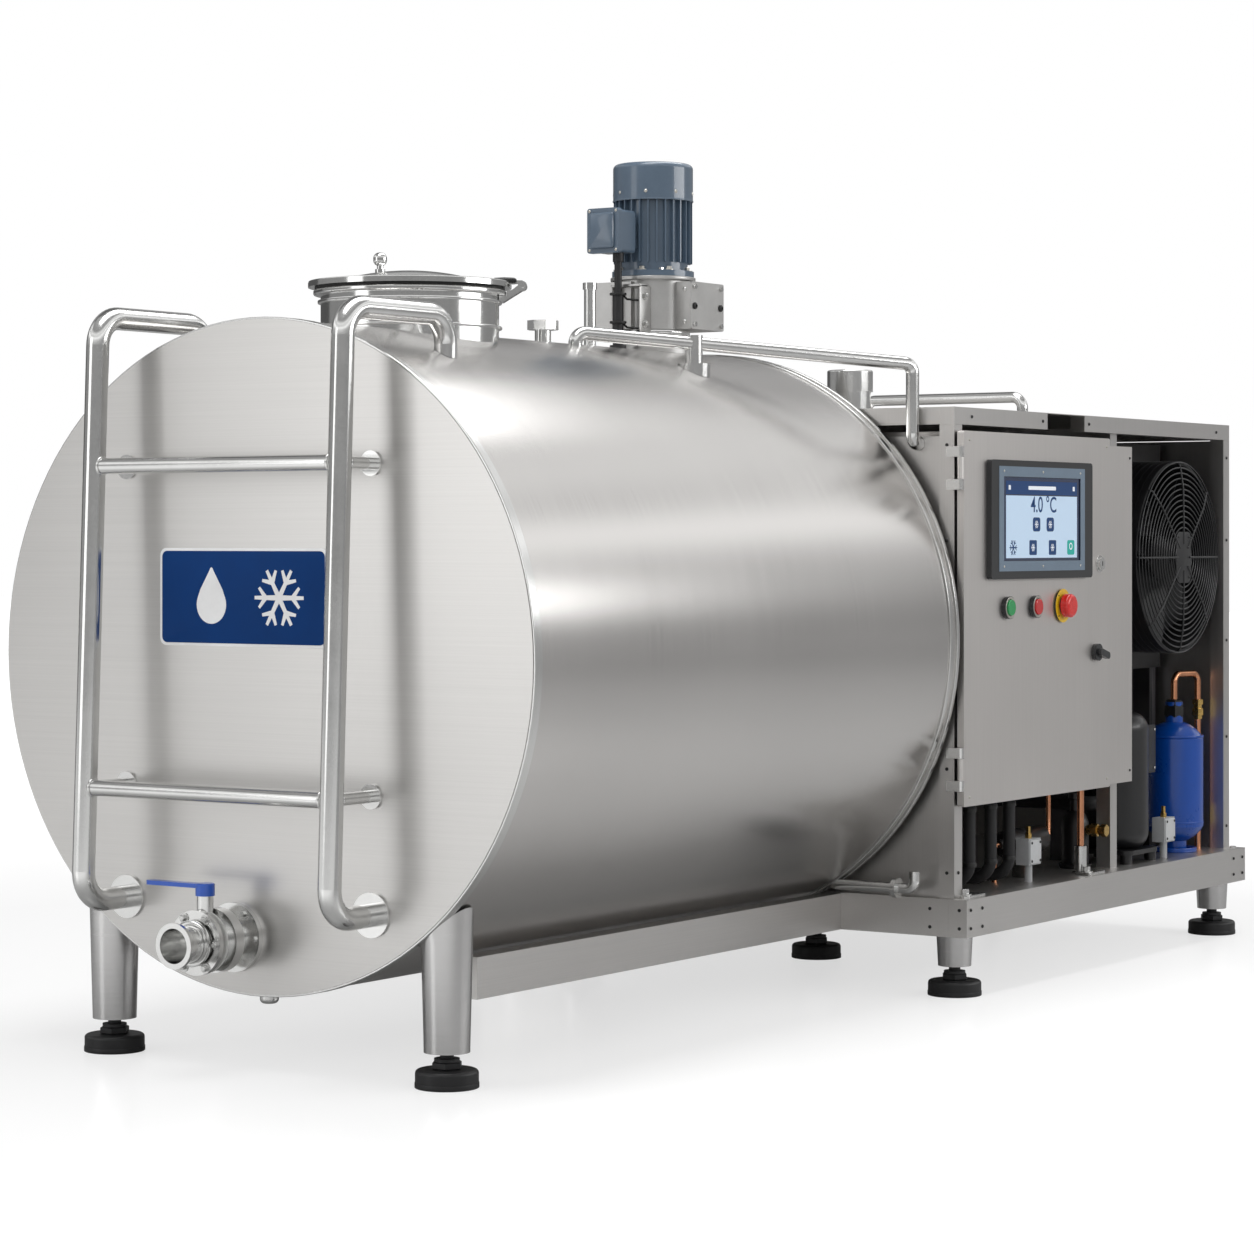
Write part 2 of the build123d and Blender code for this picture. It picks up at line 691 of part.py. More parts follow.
# Screw-in levelling feet: a rubber pad, a collar and the threaded spindle
with BuildPart() as levelling_feet:
    for x, y in front_feet + frame_feet:
        add(post(x, y, 0, foot_height, foot_radius))
        add(post(x, y, foot_height, leg_bottom_z - 12, collar_radius))
        add(post(x, y, foot_height, leg_bottom_z, spindle_radius))
    pads = levelling_feet.edges().filter_by(GeomType.CIRCLE)
    fillet(pads.filter_by(lambda edge: abs(edge.radius - foot_radius) < 1)
           .filter_by(lambda edge: edge.center().Z > foot_height / 2), 8)
levelling_feet.part.label = "levelling_feet"
export_step(levelling_feet.part, "parts/levelling_feet.step")

# Two rails under the tank, the bay's rim and its inner beams, all of straight bars
tank_rail_start = front_x + 265
with BuildPart() as base_frame:
    for side in (1, -1):
        rail_y = min(side * rail_inner_y, side * rail_outer_y)
        add(block(tank_rail_start, base_x - weld_gap, rail_y, rail_y + beam_width,
                  beam_bottom_z, beam_top_z))
        side_y = side * (base_half_width - beam_width / 2) - beam_width / 2
        add(block(base_x, base_end_x, side_y, side_y + beam_width, beam_bottom_z, beam_top_z))
    for x in (base_x, base_end_x - beam_width):
        add(block(x, x + beam_width, -base_half_width + beam_width + weld_gap,
                  base_half_width - beam_width - weld_gap, beam_bottom_z, beam_top_z))
    add(block(base_x + beam_width + weld_gap, base_end_x - beam_width - weld_gap,
              -beam_width / 2, beam_width / 2, beam_bottom_z, beam_top_z))
    add(drum(front_x, rear_x, tank_radius + weld_gap + band_height, 0), mode=Mode.SUBTRACT)
base_frame.part.label = "base_frame"
export_step(base_frame.part, "parts/base_frame.step")

with BuildPart() as base_tray:
    add(block(base_x, base_end_x, -base_half_width, base_half_width, beam_top_z, bay_floor_z))
base_tray.part.label = "base_tray"
export_step(base_tray.part, "parts/base_tray.step")

# Posts and top rails of the bay; the front rail has a cable gap over the control box
bay_x = base_x + 10
bay_end_x = base_end_x - 20
rail_gap_start = base_x + 510
rail_gap_end = base_x + 723
post_top_z = bay_top_z - post_width
mid_post_x = base_x + 922
with BuildPart() as bay_frame:
    for x in (bay_x, bay_end_x - post_width):
        for y in (-bay_half_width, bay_half_width - post_width):
            add(block(x, x + post_width, y, y + post_width, bay_floor_z, post_top_z - weld_gap))
    add(block(mid_post_x, mid_post_x + post_width, -bay_half_width + 22,
              -bay_half_width + 22 + post_width, bay_floor_z, post_top_z - weld_gap))
    add(block(bay_x, rail_gap_start, -bay_half_width, -bay_half_width + post_width,
              post_top_z, bay_top_z))
    add(block(rail_gap_end, bay_end_x, -bay_half_width, -bay_half_width + post_width,
              post_top_z, bay_top_z))
    add(block(bay_x, bay_end_x, bay_half_width - post_width, bay_half_width,
              post_top_z, bay_top_z))
    for x in (bay_x, bay_end_x - post_width):
        add(block(x, x + post_width, -bay_half_width + post_width + weld_gap,
                  bay_half_width - post_width - weld_gap, post_top_z, bay_top_z))
bay_frame.part.label = "bay_frame"
export_step(bay_frame.part, "parts/bay_frame.step")

# Sheet panels: the one by the tank stops short of the beam, and carries the pipe's end
panel_front_top_z = 1352
panel_gap = 2
with BuildPart() as bay_panels:
    panel_y = bay_half_width - post_width - panel_gap
    add(block(bay_x + 12, bay_x + 12 + sheet, -panel_y, panel_y, bay_floor_z, panel_front_top_z))
    add(block(bay_end_x - 12 - sheet, bay_end_x - 12, -panel_y, panel_y,
              bay_floor_z, post_top_z - panel_gap))
    add(block(bay_x + post_width + panel_gap, bay_end_x - post_width - panel_gap,
              bay_half_width - 12 - sheet, bay_half_width - 12,
              bay_floor_z, post_top_z - panel_gap))
    add(drum(bay_x, bay_x + post_width, cip_radius + weld_gap, 0, cip_end[1], cip_bottom_z),
        mode=Mode.SUBTRACT)
    add(block(bay_x, bay_end_x, -bay_half_width, bay_half_width, bay_top_z, bay_top_z + sheet))
bay_panels.part.label = "bay_panels"
export_step(bay_panels.part, "parts/bay_panels.step")

# ---------------------------------------------------------------- agitator drive

# Gears: two equal stages, motor pinion to wheel, then pinion to wheel again
pressure_angle = radians(20)
pinion_pitch = gear_module * pinion_teeth / 2
wheel_pitch = gear_module * wheel_teeth / 2
shaft_spacing = pinion_pitch + wheel_pitch
tooth_backlash = 0.5
tooth_head = 0.85 * gear_module
tooth_foot = 1.2 * gear_module


def involute_turn(radius, base):
    """Polar angle of an involute where it reaches a radius."""
    spread = sqrt(max(radius**2 / base**2 - 1, 0))
    return spread - acos(min(base / radius, 1))


def gear(teeth, x, y, z_low, tooth_direction, bore):
    """A spur gear with one tooth pointing in a direction, in radians."""
    pitch = gear_module * teeth / 2
    base = pitch * cos(pressure_angle)
    root = pitch - tooth_foot
    tip = pitch + tooth_head
    half_tooth = (pi * gear_module / 2 - tooth_backlash) / (2 * pitch)
    half_base = half_tooth + involute_turn(pitch, base)
    outline = []
    for tooth in range(teeth):
        middle = tooth_direction + 2 * pi * tooth / teeth
        flank = [(root, half_base)]
        for radius in (max(base, root), pitch, tip):
            flank.append((radius, half_base - involute_turn(radius, base)))
        left = [(radius, middle - angle) for radius, angle in flank]
        right = [(radius, middle + angle) for radius, angle in reversed(flank)]
        for radius, angle in left + right:
            point = (x + radius * cos(angle), y + radius * sin(angle))
            if not outline or hypot(point[0] - outline[-1][0], point[1] - outline[-1][1]) > 0.01:
                outline.append(point)
    with BuildPart() as wheel:
        with BuildSketch(Plane.XY.offset(z_low)):
            with BuildLine():
                Polyline(*outline, close=True)
            make_face()
            if bore > 0:
                with Locations((x, y)):
                    Circle(bore, mode=Mode.SUBTRACT)
        extrude(amount=gear_width)
    return wheel.part


counter_turn = radians(countershaft_direction)
counter_x = agitator_x + shaft_spacing * cos(counter_turn)
counter_y = shaft_spacing * sin(counter_turn)
output_gear_z = gearbox_floor_z + gearbox_wall + 14
input_gear_z = output_gear_z + gear_width + 14
gearbox_top_z = motor_flange_z - 4
case_reach = wheel_pitch + tooth_head + 4
counter_radius = 9
bearing_outer = 22
bearing_width = 7
housing_radius = gearbox_diameter / 2

# The near side box holds the wheel that stands out of the round housing
case_x_low = counter_x - case_reach - gearbox_wall
case_x_high = counter_x + case_reach + gearbox_wall
case_y_low = counter_y - case_reach
cover_thickness = 4
with BuildPart() as gearbox_cover:
    add(block(case_x_low, case_x_high, case_y_low - weld_gap - cover_thickness,
              case_y_low - weld_gap, gearbox_floor_z, gearbox_top_z - 10))
    fillet(gearbox_cover.edges().filter_by(Axis.Y), 5)

with BuildPart() as gearbox_housing:
    add(post(agitator_x, 0, gearbox_floor_z, gearbox_top_z, housing_radius))
    add(block(case_x_low, case_x_high, case_y_low, 0, gearbox_floor_z, gearbox_top_z - 10))
    add(block(2 * agitator_x - case_x_high + 24, 2 * agitator_x - case_x_low - 40,
              0, -case_y_low - 14, gearbox_floor_z, gearbox_top_z - 10))
    add(post(agitator_x, 0, gearbox_floor_z + gearbox_wall, gearbox_top_z - gearbox_wall,
             housing_radius - gearbox_wall), mode=Mode.SUBTRACT)
    add(block(case_x_low + gearbox_wall, case_x_high - gearbox_wall, case_y_low,
              counter_y + case_reach, gearbox_floor_z + gearbox_wall,
              gearbox_top_z - 10 - gearbox_wall), mode=Mode.SUBTRACT)
    # Pedestal down to the shell, with a wide foot
    add(post(agitator_x, 0, tank_top_z - 60, gearbox_floor_z, pedestal_diameter / 2 - 12))
    add(post(agitator_x, 0, tank_top_z - 60, tank_top_z + 10, pedestal_diameter / 2))
    add(drum(front_x, rear_x, tank_radius + weld_gap, 0), mode=Mode.SUBTRACT)
    add(post(agitator_x, 0, tank_top_z - 80, gearbox_floor_z + gearbox_wall,
             bearing_outer), mode=Mode.SUBTRACT)
    add(post(agitator_x, 0, gearbox_top_z - gearbox_wall, gearbox_top_z, bearing_outer),
        mode=Mode.SUBTRACT)
    # Bosses that hold the countershaft's bearings
    boss_top_z = gearbox_top_z - 10 - gearbox_wall
    with Locations((counter_x, counter_y, gearbox_floor_z)):
        Cylinder(bearing_outer + running_gap, bearing_width - 2,
                 align=(Align.CENTER, Align.CENTER, Align.MIN))
    # The screwed cover that closes the side box
    add(gearbox_cover.part)
gearbox_housing.part.label = "gearbox_housing"
export_step(gearbox_housing.part, "parts/gearbox_housing.step")

# Ball bearings as plain rings: under and over the agitator shaft's gear, on the
# countershaft's ends and at both ends of the motor
agitator_bearing_z = gearbox_floor_z
counter_low_z = gearbox_floor_z + gearbox_wall
counter_high_z = boss_top_z - bearing_width
rotor_low_bearing_z = gearbox_top_z - gearbox_wall + 1
with BuildPart() as bearings:
    add(post(agitator_x, 0, agitator_bearing_z, agitator_bearing_z + bearing_width,
             bearing_outer - weld_gap, agitator_shaft_radius + running_gap))
    add(post(counter_x, counter_y, counter_low_z, counter_low_z + bearing_width,
             bearing_outer, counter_radius + running_gap))
    add(post(counter_x, counter_y, counter_high_z, counter_high_z + bearing_width,
             bearing_outer, counter_radius + running_gap))
    add(post(agitator_x, 0, rotor_low_bearing_z, rotor_low_bearing_z + bearing_width,
             bearing_outer - weld_gap, motor_shaft_radius + running_gap))
bearings.part.label = "bearings"
export_step(bearings.part, "parts/bearings.step")

# The motor pinion has a tooth towards the countershaft; each wheel has a gap there
counter_gap_turn = counter_turn + pi + pi / wheel_teeth
with BuildPart() as countershaft:
    add(post(counter_x, counter_y, counter_low_z + weld_gap, boss_top_z - weld_gap,
             counter_radius))
    add(gear(wheel_teeth, counter_x, counter_y, input_gear_z, counter_gap_turn, 0))
    add(gear(pinion_teeth, counter_x, counter_y, output_gear_z, counter_turn + pi, 0))
countershaft.part.label = "countershaft"
export_step(countershaft.part, "parts/countershaft.step")

# Agitator: shaft, output wheel and two crossed pairs of pitched blades
shaft_top_z = output_gear_z + gear_width + 6
paddle_width = 70
paddle_sheet = 5
paddle_pitch = 35
hub_radius = 26
with BuildPart() as agitator:
    add(post(agitator_x, 0, paddle_z - 40, shaft_top_z, agitator_shaft_radius))
    add(gear(wheel_teeth, agitator_x, 0, output_gear_z, counter_turn + pi / wheel_teeth, 0))
    add(post(agitator_x, 0, paddle_z - 30, paddle_z + 30, hub_radius))
    blade_middle = (hub_radius + paddle_reach) / 2 - 4
    for quarter in range(4):
        with Locations(Location((agitator_x, 0, paddle_z), (0, 0, 90 * quarter))):
            with Locations(Location((blade_middle, 0, 0), (paddle_pitch, 0, 0))):
                Box(paddle_reach - hub_radius + 8, paddle_width, paddle_sheet)
agitator.part.label = "agitator"
export_step(agitator.part, "parts/agitator.step")

# Motor: ribbed body with its flange, a fan cowl on top, and the rotor inside
motor_radius = motor_diameter / 2
rib_depth = 13
rib_count = 28
rib_thickness = 3.2
body_top_z = motor_top_z - cowl_height
body_low_z = motor_flange_z + 34
flange_radius = 100
flange_thickness = 14
rotor_radius = 48
rotor_cavity = 52
fan_radius = 70
with BuildPart() as motor_body:
    core_radius = motor_radius - rib_depth
    add(post(agitator_x, 0, motor_flange_z, body_top_z, core_radius))
    add(post(agitator_x, 0, motor_flange_z, motor_flange_z + flange_thickness, flange_radius))
    with BuildSketch(Plane.XY.offset(body_low_z)) as ribs:
        with Locations((agitator_x, 0)):
            with PolarLocations(core_radius + rib_depth / 2 - 1, rib_count):
                Rectangle(rib_depth, rib_thickness)
    extrude(amount=body_top_z - body_low_z)
    add(post(agitator_x, 0, motor_flange_z + 20, body_top_z - 12, rotor_cavity),
        mode=Mode.SUBTRACT)
    add(post(agitator_x, 0, motor_flange_z, body_top_z, motor_shaft_radius + 0.1),
        mode=Mode.SUBTRACT)
motor_body.part.label = "motor_body"
export_step(motor_body.part, "parts/motor_body.step")

with BuildPart() as motor_cowl:
    add(post(agitator_x, 0, body_top_z, motor_top_z, motor_radius))
    fillet(motor_cowl.edges().filter_by(GeomType.CIRCLE).group_by(Axis.Z)[-1], 12)
    add(post(agitator_x, 0, body_top_z, motor_top_z - 5, motor_radius - 3), mode=Mode.SUBTRACT)
    with Locations((agitator_x, 0, motor_top_z)):
        with PolarLocations(50, 12):
            Cylinder(7, 20, mode=Mode.SUBTRACT)
        with PolarLocations(26, 6):
            Cylinder(6, 20, mode=Mode.SUBTRACT)
motor_cowl.part.label = "motor_cowl"
export_step(motor_cowl.part, "parts/motor_cowl.step")

fan_z = body_top_z + 14
with BuildPart() as motor_rotor:
    add(post(agitator_x, 0, input_gear_z - 1, fan_z + 34, motor_shaft_radius))
    add(post(agitator_x, 0, motor_flange_z + 30, body_top_z - 22, rotor_radius))
    add(gear(pinion_teeth, agitator_x, 0, input_gear_z, counter_turn, 0))
    add(post(agitator_x, 0, fan_z, fan_z + 4, fan_radius))
    with Locations((agitator_x, 0, fan_z + 16)):
        with PolarLocations((fan_radius + motor_shaft_radius) / 2, 8):
            Box(fan_radius - motor_shaft_radius + 2, 3, 32)
motor_rotor.part.label = "motor_rotor"
export_step(motor_rotor.part, "parts/motor_rotor.step")

# Terminal box on a short saddle at the motor's side, with its lid towards the front
terminal_low = (agitator_x - 191, -25, 1790)
terminal_size = (62, 90, 108)
terminal_lid = 16
saddle_y = 20
with BuildPart() as terminal_box:
    x_low, y_low, z_low = terminal_low
    add(block(x_low, x_low + terminal_lid - weld_gap, y_low, y_low + terminal_size[1],
              z_low, z_low + terminal_size[2]))
    add(block(x_low + terminal_lid, x_low + terminal_size[0] + terminal_lid, y_low + 3,
              y_low + terminal_size[1] - 3, z_low + 3, z_low + terminal_size[2] - 3))
    fillet(terminal_box.edges().filter_by(Axis.X), 7)
    add(block(x_low + terminal_size[0], agitator_x - 20, saddle_y - 32, saddle_y + 32,
              z_low + 14, z_low + terminal_size[2] - 14))
    add(post(agitator_x, 0, motor_flange_z, motor_top_z, motor_radius + weld_gap),
        mode=Mode.SUBTRACT)
terminal_box.part.label = "terminal_box"
export_step(terminal_box.part, "parts/terminal_box.step")

# Gland, supply cable and the steel conduit that takes it down to the shell
cable_x = agitator_x - 148
cable_y = 4
cable_radius = 9
gland_radius = 13
conduit_radius = 13
conduit_top_z = 1694
with BuildPart() as motor_cable:
    gland_top_z = terminal_low[2] + 3 - weld_gap
    add(post(cable_x, cable_y, gland_top_z - 22, gland_top_z, gland_radius))
    add(post(cable_x, cable_y, conduit_top_z + weld_gap, gland_top_z - 22, cable_radius))
    add(post(cable_x, cable_y, tank_top_z - 40, conduit_top_z, conduit_radius))
    add(post(cable_x, cable_y, tank_top_z - 40, tank_top_z + 10, conduit_radius + 7))
    add(drum(front_x, rear_x, tank_radius + weld_gap, 0), mode=Mode.SUBTRACT)
motor_cable.part.label = "motor_cable"
export_step(motor_cable.part, "parts/motor_cable.step")

# ---------------------------------------------------------------- control box and door

door_face = Plane.XZ.offset(door_y)
door_back_y = -door_y + door_depth
box_front_y = door_back_y + 1.5
box_back_y = box_front_y + box_depth
box_x_low = bay_x + post_width + 4
box_x_high = door_right_x - 3
with BuildPart() as control_box:
    add(block(box_x_low, box_x_high, box_front_y, box_back_y, door_bottom_z, door_top_z))
    add(block(box_x_low + sheet, box_x_high - sheet, box_front_y, box_back_y - sheet,
              door_bottom_z + sheet, door_top_z - sheet), mode=Mode.SUBTRACT)
control_box.part.label = "control_box"
export_step(control_box.part, "parts/control_box.step")

# Where each control sits on the door: (from the door's left edge, height)
display_low = (door_x + 117, 1005)
display_size = (560, 292)
lcd_low = (door_x + 182, 1050)
lcd_size = (423, 206)
button_z = 935
green_x = door_x + 222
red_x = door_x + 372
estop_x = door_x + 526
lock_at = (door_x + 747, 1040)
handle_at = (door_x + 721, 812)
button_stem_radius = 8
lock_radius = 11
handle_stem_radius = 9
display_depth = 14
display_inset = 60

# Hinges: barrels on the door's left edge, round pins held by leaves on the corner post
barrel_radius = 8
barrel_length = 52
hinge_pin = 3.5
hinge_x = door_x - barrel_radius - 1
hinge_y = -door_y + 4
door_hinge_zs = (door_bottom_z + 90, door_top_z - 90)
leaf_length = 26
side_hinge_x = door_right_x + door_gap
side_barrel_radius = 5
side_door_y = -door_y + 12
side_hinge_zs = (door_bottom_z + 120, door_top_z - 150)

with BuildPart() as control_door:
    add(block(door_x, door_right_x, -door_y, door_back_y, door_bottom_z, door_top_z))
    fillet(control_door.edges().filter_by(Axis.Y), 6)
    add(block(door_x + sheet, door_right_x - sheet, -door_y + sheet, door_back_y,
              door_bottom_z + sheet, door_top_z - sheet), mode=Mode.SUBTRACT)
    with BuildSketch(door_face):
        with Locations((green_x, button_z), (red_x, button_z), (estop_x, button_z)):
            Circle(button_stem_radius + slide_gap)
        with Locations(lock_at):
            Circle(lock_radius + running_gap)
        with Locations(handle_at):
            Circle(handle_stem_radius + running_gap)
        with Locations((display_low[0] + display_size[0] / 2, display_low[1] + display_size[1] / 2)):
            Rectangle(display_size[0] - 2 * display_inset, display_size[1] - 2 * display_inset)
    extrude(amount=-2 * sheet, mode=Mode.SUBTRACT)
    for z in door_hinge_zs:
        add(post(hinge_x, hinge_y, z - barrel_length / 2, z + barrel_length / 2, barrel_radius))
        add(block(hinge_x, door_x + sheet, hinge_y - 2, hinge_y + 3,
                  z - barrel_length / 2, z + barrel_length / 2))
        add(post(hinge_x, hinge_y, z - barrel_length, z + barrel_length,
                 hinge_pin + running_gap), mode=Mode.SUBTRACT)
control_door.part.label = "control_door"
export_step(control_door.part, "parts/control_door.step")

# Display: a bezel with a stepped frame, and the flat screen set into it
screen_depth = 5
with BuildPart() as hmi_bezel:
    with BuildSketch(door_face):
        with Locations((display_low[0] + display_size[0] / 2, display_low[1] + display_size[1] / 2)):
            RectangleRounded(display_size[0], display_size[1], 10)
    extrude(amount=display_depth)
    with BuildSketch(door_face.offset(display_depth)):
        with Locations((lcd_low[0] + lcd_size[0] / 2, lcd_low[1] + lcd_size[1] / 2)):
            Rectangle(lcd_size[0], lcd_size[1])
    extrude(amount=-screen_depth, mode=Mode.SUBTRACT)
hmi_bezel.part.label = "hmi_bezel"
export_step(hmi_bezel.part, "parts/hmi_bezel.step")

with BuildPart() as hmi_screen:
    with BuildSketch(door_face.offset(display_depth - screen_depth)):
        with Locations((lcd_low[0] + lcd_size[0] / 2, lcd_low[1] + lcd_size[1] / 2)):
            Rectangle(lcd_size[0] - 2 * weld_gap, lcd_size[1] - 2 * weld_gap)
    extrude(amount=screen_depth - 2)
hmi_screen.part.label = "hmi_screen"
export_step(hmi_screen.part, "parts/hmi_screen.step")

# Push buttons: a socket ring and a switch block fixed to the door, and a cap that slides
ring_radius = 28
cap_radius = 20
ring_height = 12
cap_height = 17
press_travel = 4
block_size = 36
block_depth = 44
stem_reach = 26
estop_ring_radius = 38
estop_ring_height = 5
mushroom_radius = 30
mushroom_foot = 12
mushroom_top = 34
estop_travel = 6
with BuildPart() as button_sockets:
    with BuildSketch(door_face):
        with Locations((green_x, button_z), (red_x, button_z)):
            Circle(ring_radius)
            Circle(cap_radius + slide_gap, mode=Mode.SUBTRACT)
    extrude(amount=ring_height)
    with BuildSketch(door_face):
        with Locations((estop_x, button_z)):
            Circle(estop_ring_radius)
            Circle(button_stem_radius + slide_gap, mode=Mode.SUBTRACT)
    extrude(amount=estop_ring_height)
    with BuildSketch(door_face.offset(-sheet - weld_gap)):
        with Locations((green_x, button_z), (red_x, button_z), (estop_x, button_z)):
            Rectangle(block_size, block_size)
            Circle(button_stem_radius + slide_gap, mode=Mode.SUBTRACT)
    extrude(amount=-block_depth)
button_sockets.part.label = "button_sockets"
export_step(button_sockets.part, "parts/button_sockets.step")


def push_button(x):
    """A flush cap with the stem that works its switch."""
    with BuildPart() as cap:
        with BuildSketch(door_face.offset(press_travel + 1)):
            with Locations((x, button_z)):
                Circle(cap_radius)
        extrude(amount=cap_height - press_travel - 1)
        fillet(cap.edges().group_by(Axis.Y)[0], 2.5)
        with BuildSketch(door_face.offset(press_travel + 1)):
            with Locations((x, button_z)):
                Circle(button_stem_radius)
        extrude(amount=-stem_reach)
    return cap.part


with BuildPart() as green_button:
    add(push_button(green_x))
green_button.part.label = "green_button"
export_step(green_button.part, "parts/green_button.step")

with BuildPart() as red_button:
    add(push_button(red_x))
red_button.part.label = "red_button"
export_step(red_button.part, "parts/red_button.step")

with BuildPart() as estop_button:
    with BuildSketch(door_face.offset(mushroom_foot)):
        with Locations((estop_x, button_z)):
            Circle(mushroom_radius)
    extrude(amount=mushroom_top - mushroom_foot)
    fillet(estop_button.edges().group_by(Axis.Y)[0], 9)
    with BuildSketch(door_face.offset(mushroom_foot)):
        with Locations((estop_x, button_z)):
            Circle(button_stem_radius)
    extrude(amount=-stem_reach - mushroom_foot + press_travel)
estop_button.part.label = "estop_button"
export_step(estop_button.part, "parts/estop_button.step")

# Cylinder lock and quarter-turn handle, each with a cam behind the door
lock_height = 9
cam_reach = 34
cam_depth = 8
with BuildPart() as door_lock:
    with BuildSketch(door_face.offset(weld_gap)):
        with Locations(lock_at):
            Circle(lock_radius + 5)
    extrude(amount=lock_height)
    with BuildSketch(door_face.offset(lock_height + weld_gap)):
        with Locations(lock_at):
            Rectangle(3, 11)
    extrude(amount=-5, mode=Mode.SUBTRACT)
    with BuildSketch(door_face.offset(weld_gap)):
        with Locations(lock_at):
            Circle(lock_radius)
    extrude(amount=-cam_depth)
door_lock.part.label = "door_lock"
export_step(door_lock.part, "parts/door_lock.step")

handle_collar = 22
handle_collar_height = 12
handle_bar_length = 56
handle_bar_width = 18
with BuildPart() as door_handle:
    with BuildSketch(door_face.offset(weld_gap)):
        with Locations(handle_at):
            Circle(handle_collar)
    extrude(amount=handle_collar_height)
    with BuildSketch(door_face.offset(handle_collar_height - 1)):
        with Locations((handle_at[0] + handle_bar_length / 4, handle_at[1] - 4)):
            SlotOverall(handle_bar_length, handle_bar_width, rotation=-15)
    extrude(amount=13)
    with BuildSketch(door_face.offset(weld_gap)):
        with Locations(handle_at):
            Circle(handle_stem_radius)
    extrude(amount=-cam_depth)
door_handle.part.label = "door_handle"
export_step(door_handle.part, "parts/door_handle.step")

# Fixed leaves with the pins, reaching back to the bay's corner post
with BuildPart() as hinge_leaves:
    for z in door_hinge_zs:
        add(post(hinge_x, hinge_y, z - barrel_length / 2 - leaf_length,
                 z + barrel_length / 2 + leaf_length, hinge_pin))
        for low in (z - barrel_length / 2 - leaf_length, z + barrel_length / 2 + 1):
            add(post(hinge_x, hinge_y, low, low + leaf_length - 1, barrel_radius))
            add(block(hinge_x - barrel_radius, hinge_x - barrel_radius + 4, hinge_y,
                      -bay_half_width + 14, low, low + leaf_length - 1))
            add(block(hinge_x - barrel_radius, bay_x + 20, -bay_half_width - 4,
                      -bay_half_width - weld_gap, low, low + leaf_length - 1))
    add(block(bay_x - weld_gap, bay_x + post_width, -bay_half_width - weld_gap,
              -bay_half_width + post_width, bay_floor_z, bay_top_z), mode=Mode.SUBTRACT)
    # The service door's pins, held by lugs on the control box's side
    for z in side_hinge_zs:
        pin_reach = barrel_length / 2 + leaf_length / 2
        add(post(side_hinge_x, side_door_y, z - pin_reach, z + pin_reach, hinge_pin - 1))
        for low in (z - pin_reach, z + barrel_length / 2 + 1):
            add(post(side_hinge_x, side_door_y, low, low + leaf_length / 2 - 1,
                     side_barrel_radius))
            add(block(side_hinge_x - 3, side_hinge_x + 3, side_door_y, side_door_y + 30,
                      low, low + leaf_length / 2 - 1))
            add(block(box_x_high + weld_gap, side_hinge_x + 3, side_door_y + 8,
                      side_door_y + 30, low, low + leaf_length / 2 - 1))
hinge_leaves.part.label = "hinge_leaves"
export_step(hinge_leaves.part, "parts/hinge_leaves.step")

# Narrow service door beside the control door, on its own barrel hinges
side_door_x = side_hinge_x + barrel_radius + 1
side_door_depth = 12
side_door_bottom_z = door_bottom_z + 4
side_door_top_z = door_top_z - 18
with BuildPart() as side_door:
    add(block(side_door_x, side_door_x + side_door_width, side_door_y,
              side_door_y + side_door_depth, side_door_bottom_z, side_door_top_z))
    for z in side_hinge_zs:
        add(post(side_hinge_x, side_door_y, z - barrel_length / 2, z + barrel_length / 2,
                 side_barrel_radius))
        add(block(side_hinge_x, side_door_x, side_door_y, side_door_y + 4,
                  z - barrel_length / 2, z + barrel_length / 2))
        add(post(side_hinge_x, side_door_y, z - barrel_length, z + barrel_length,
                 hinge_pin - 1 + running_gap), mode=Mode.SUBTRACT)
side_door.part.label = "side_door"
export_step(side_door.part, "parts/side_door.step")

# Inside the control box: the component plate with its breakers, relays and controller
plate_y = box_back_y - 30
plate_margin = 60
device_depth = 70
device_rows = (
    (door_top_z - 190, 46, 90, 9),
    (door_top_z - 400, 70, 100, 6),
    (door_top_z - 640, 120, 130, 3),
)
with BuildPart() as component_plate:
    add(block(door_x + plate_margin, door_right_x - plate_margin, plate_y, plate_y + 3,
              door_bottom_z + plate_margin, door_top_z - plate_margin))
    for z, width, height, count in device_rows:
        for place in range(count):
            middle = door_x + door_width / 2 + (place - (count - 1) / 2) * (width + 6)
            add(block(middle - width / 2, middle + width / 2, plate_y - device_depth, plate_y,
                      z - height / 2, z + height / 2))
    for x in (door_x + plate_margin + 20, door_right_x - plate_margin - 20):
        for z in (door_bottom_z + plate_margin + 20, door_top_z - plate_margin - 20):
            add(block(x - 8, x + 8, plate_y + 3, box_back_y - sheet, z - 8, z + 8))
component_plate.part.label = "component_plate"
export_step(component_plate.part, "parts/component_plate.step")

# ---------------------------------------------------------------- condenser and its fan

fan_x = base_x + 1338
fan_centre_z = 1053
fan_guard_radius = 262
guard_y = -676
guard_wire = 2.2
guard_rings = 12
guard_spokes = 8
guard_depth = 16
shroud_depth = 170
shroud_wall = 4
shroud_ribs = 9
blade_radius = 236
hub_cover_radius = 44
fan_hub_radius = 60
fan_blade_count = 7
coil_low_x = fan_x - 300
coil_high_x = base_x + 1602
coil_low_z = 742
coil_high_z = 1368
coil_depth = 70
shroud_front_y = guard_y + guard_depth
shroud_back_y = shroud_front_y + shroud_depth
coil_y = shroud_back_y + 4
fan_motor_radius = 55
guard_plane = Plane.XZ.offset(-guard_y)

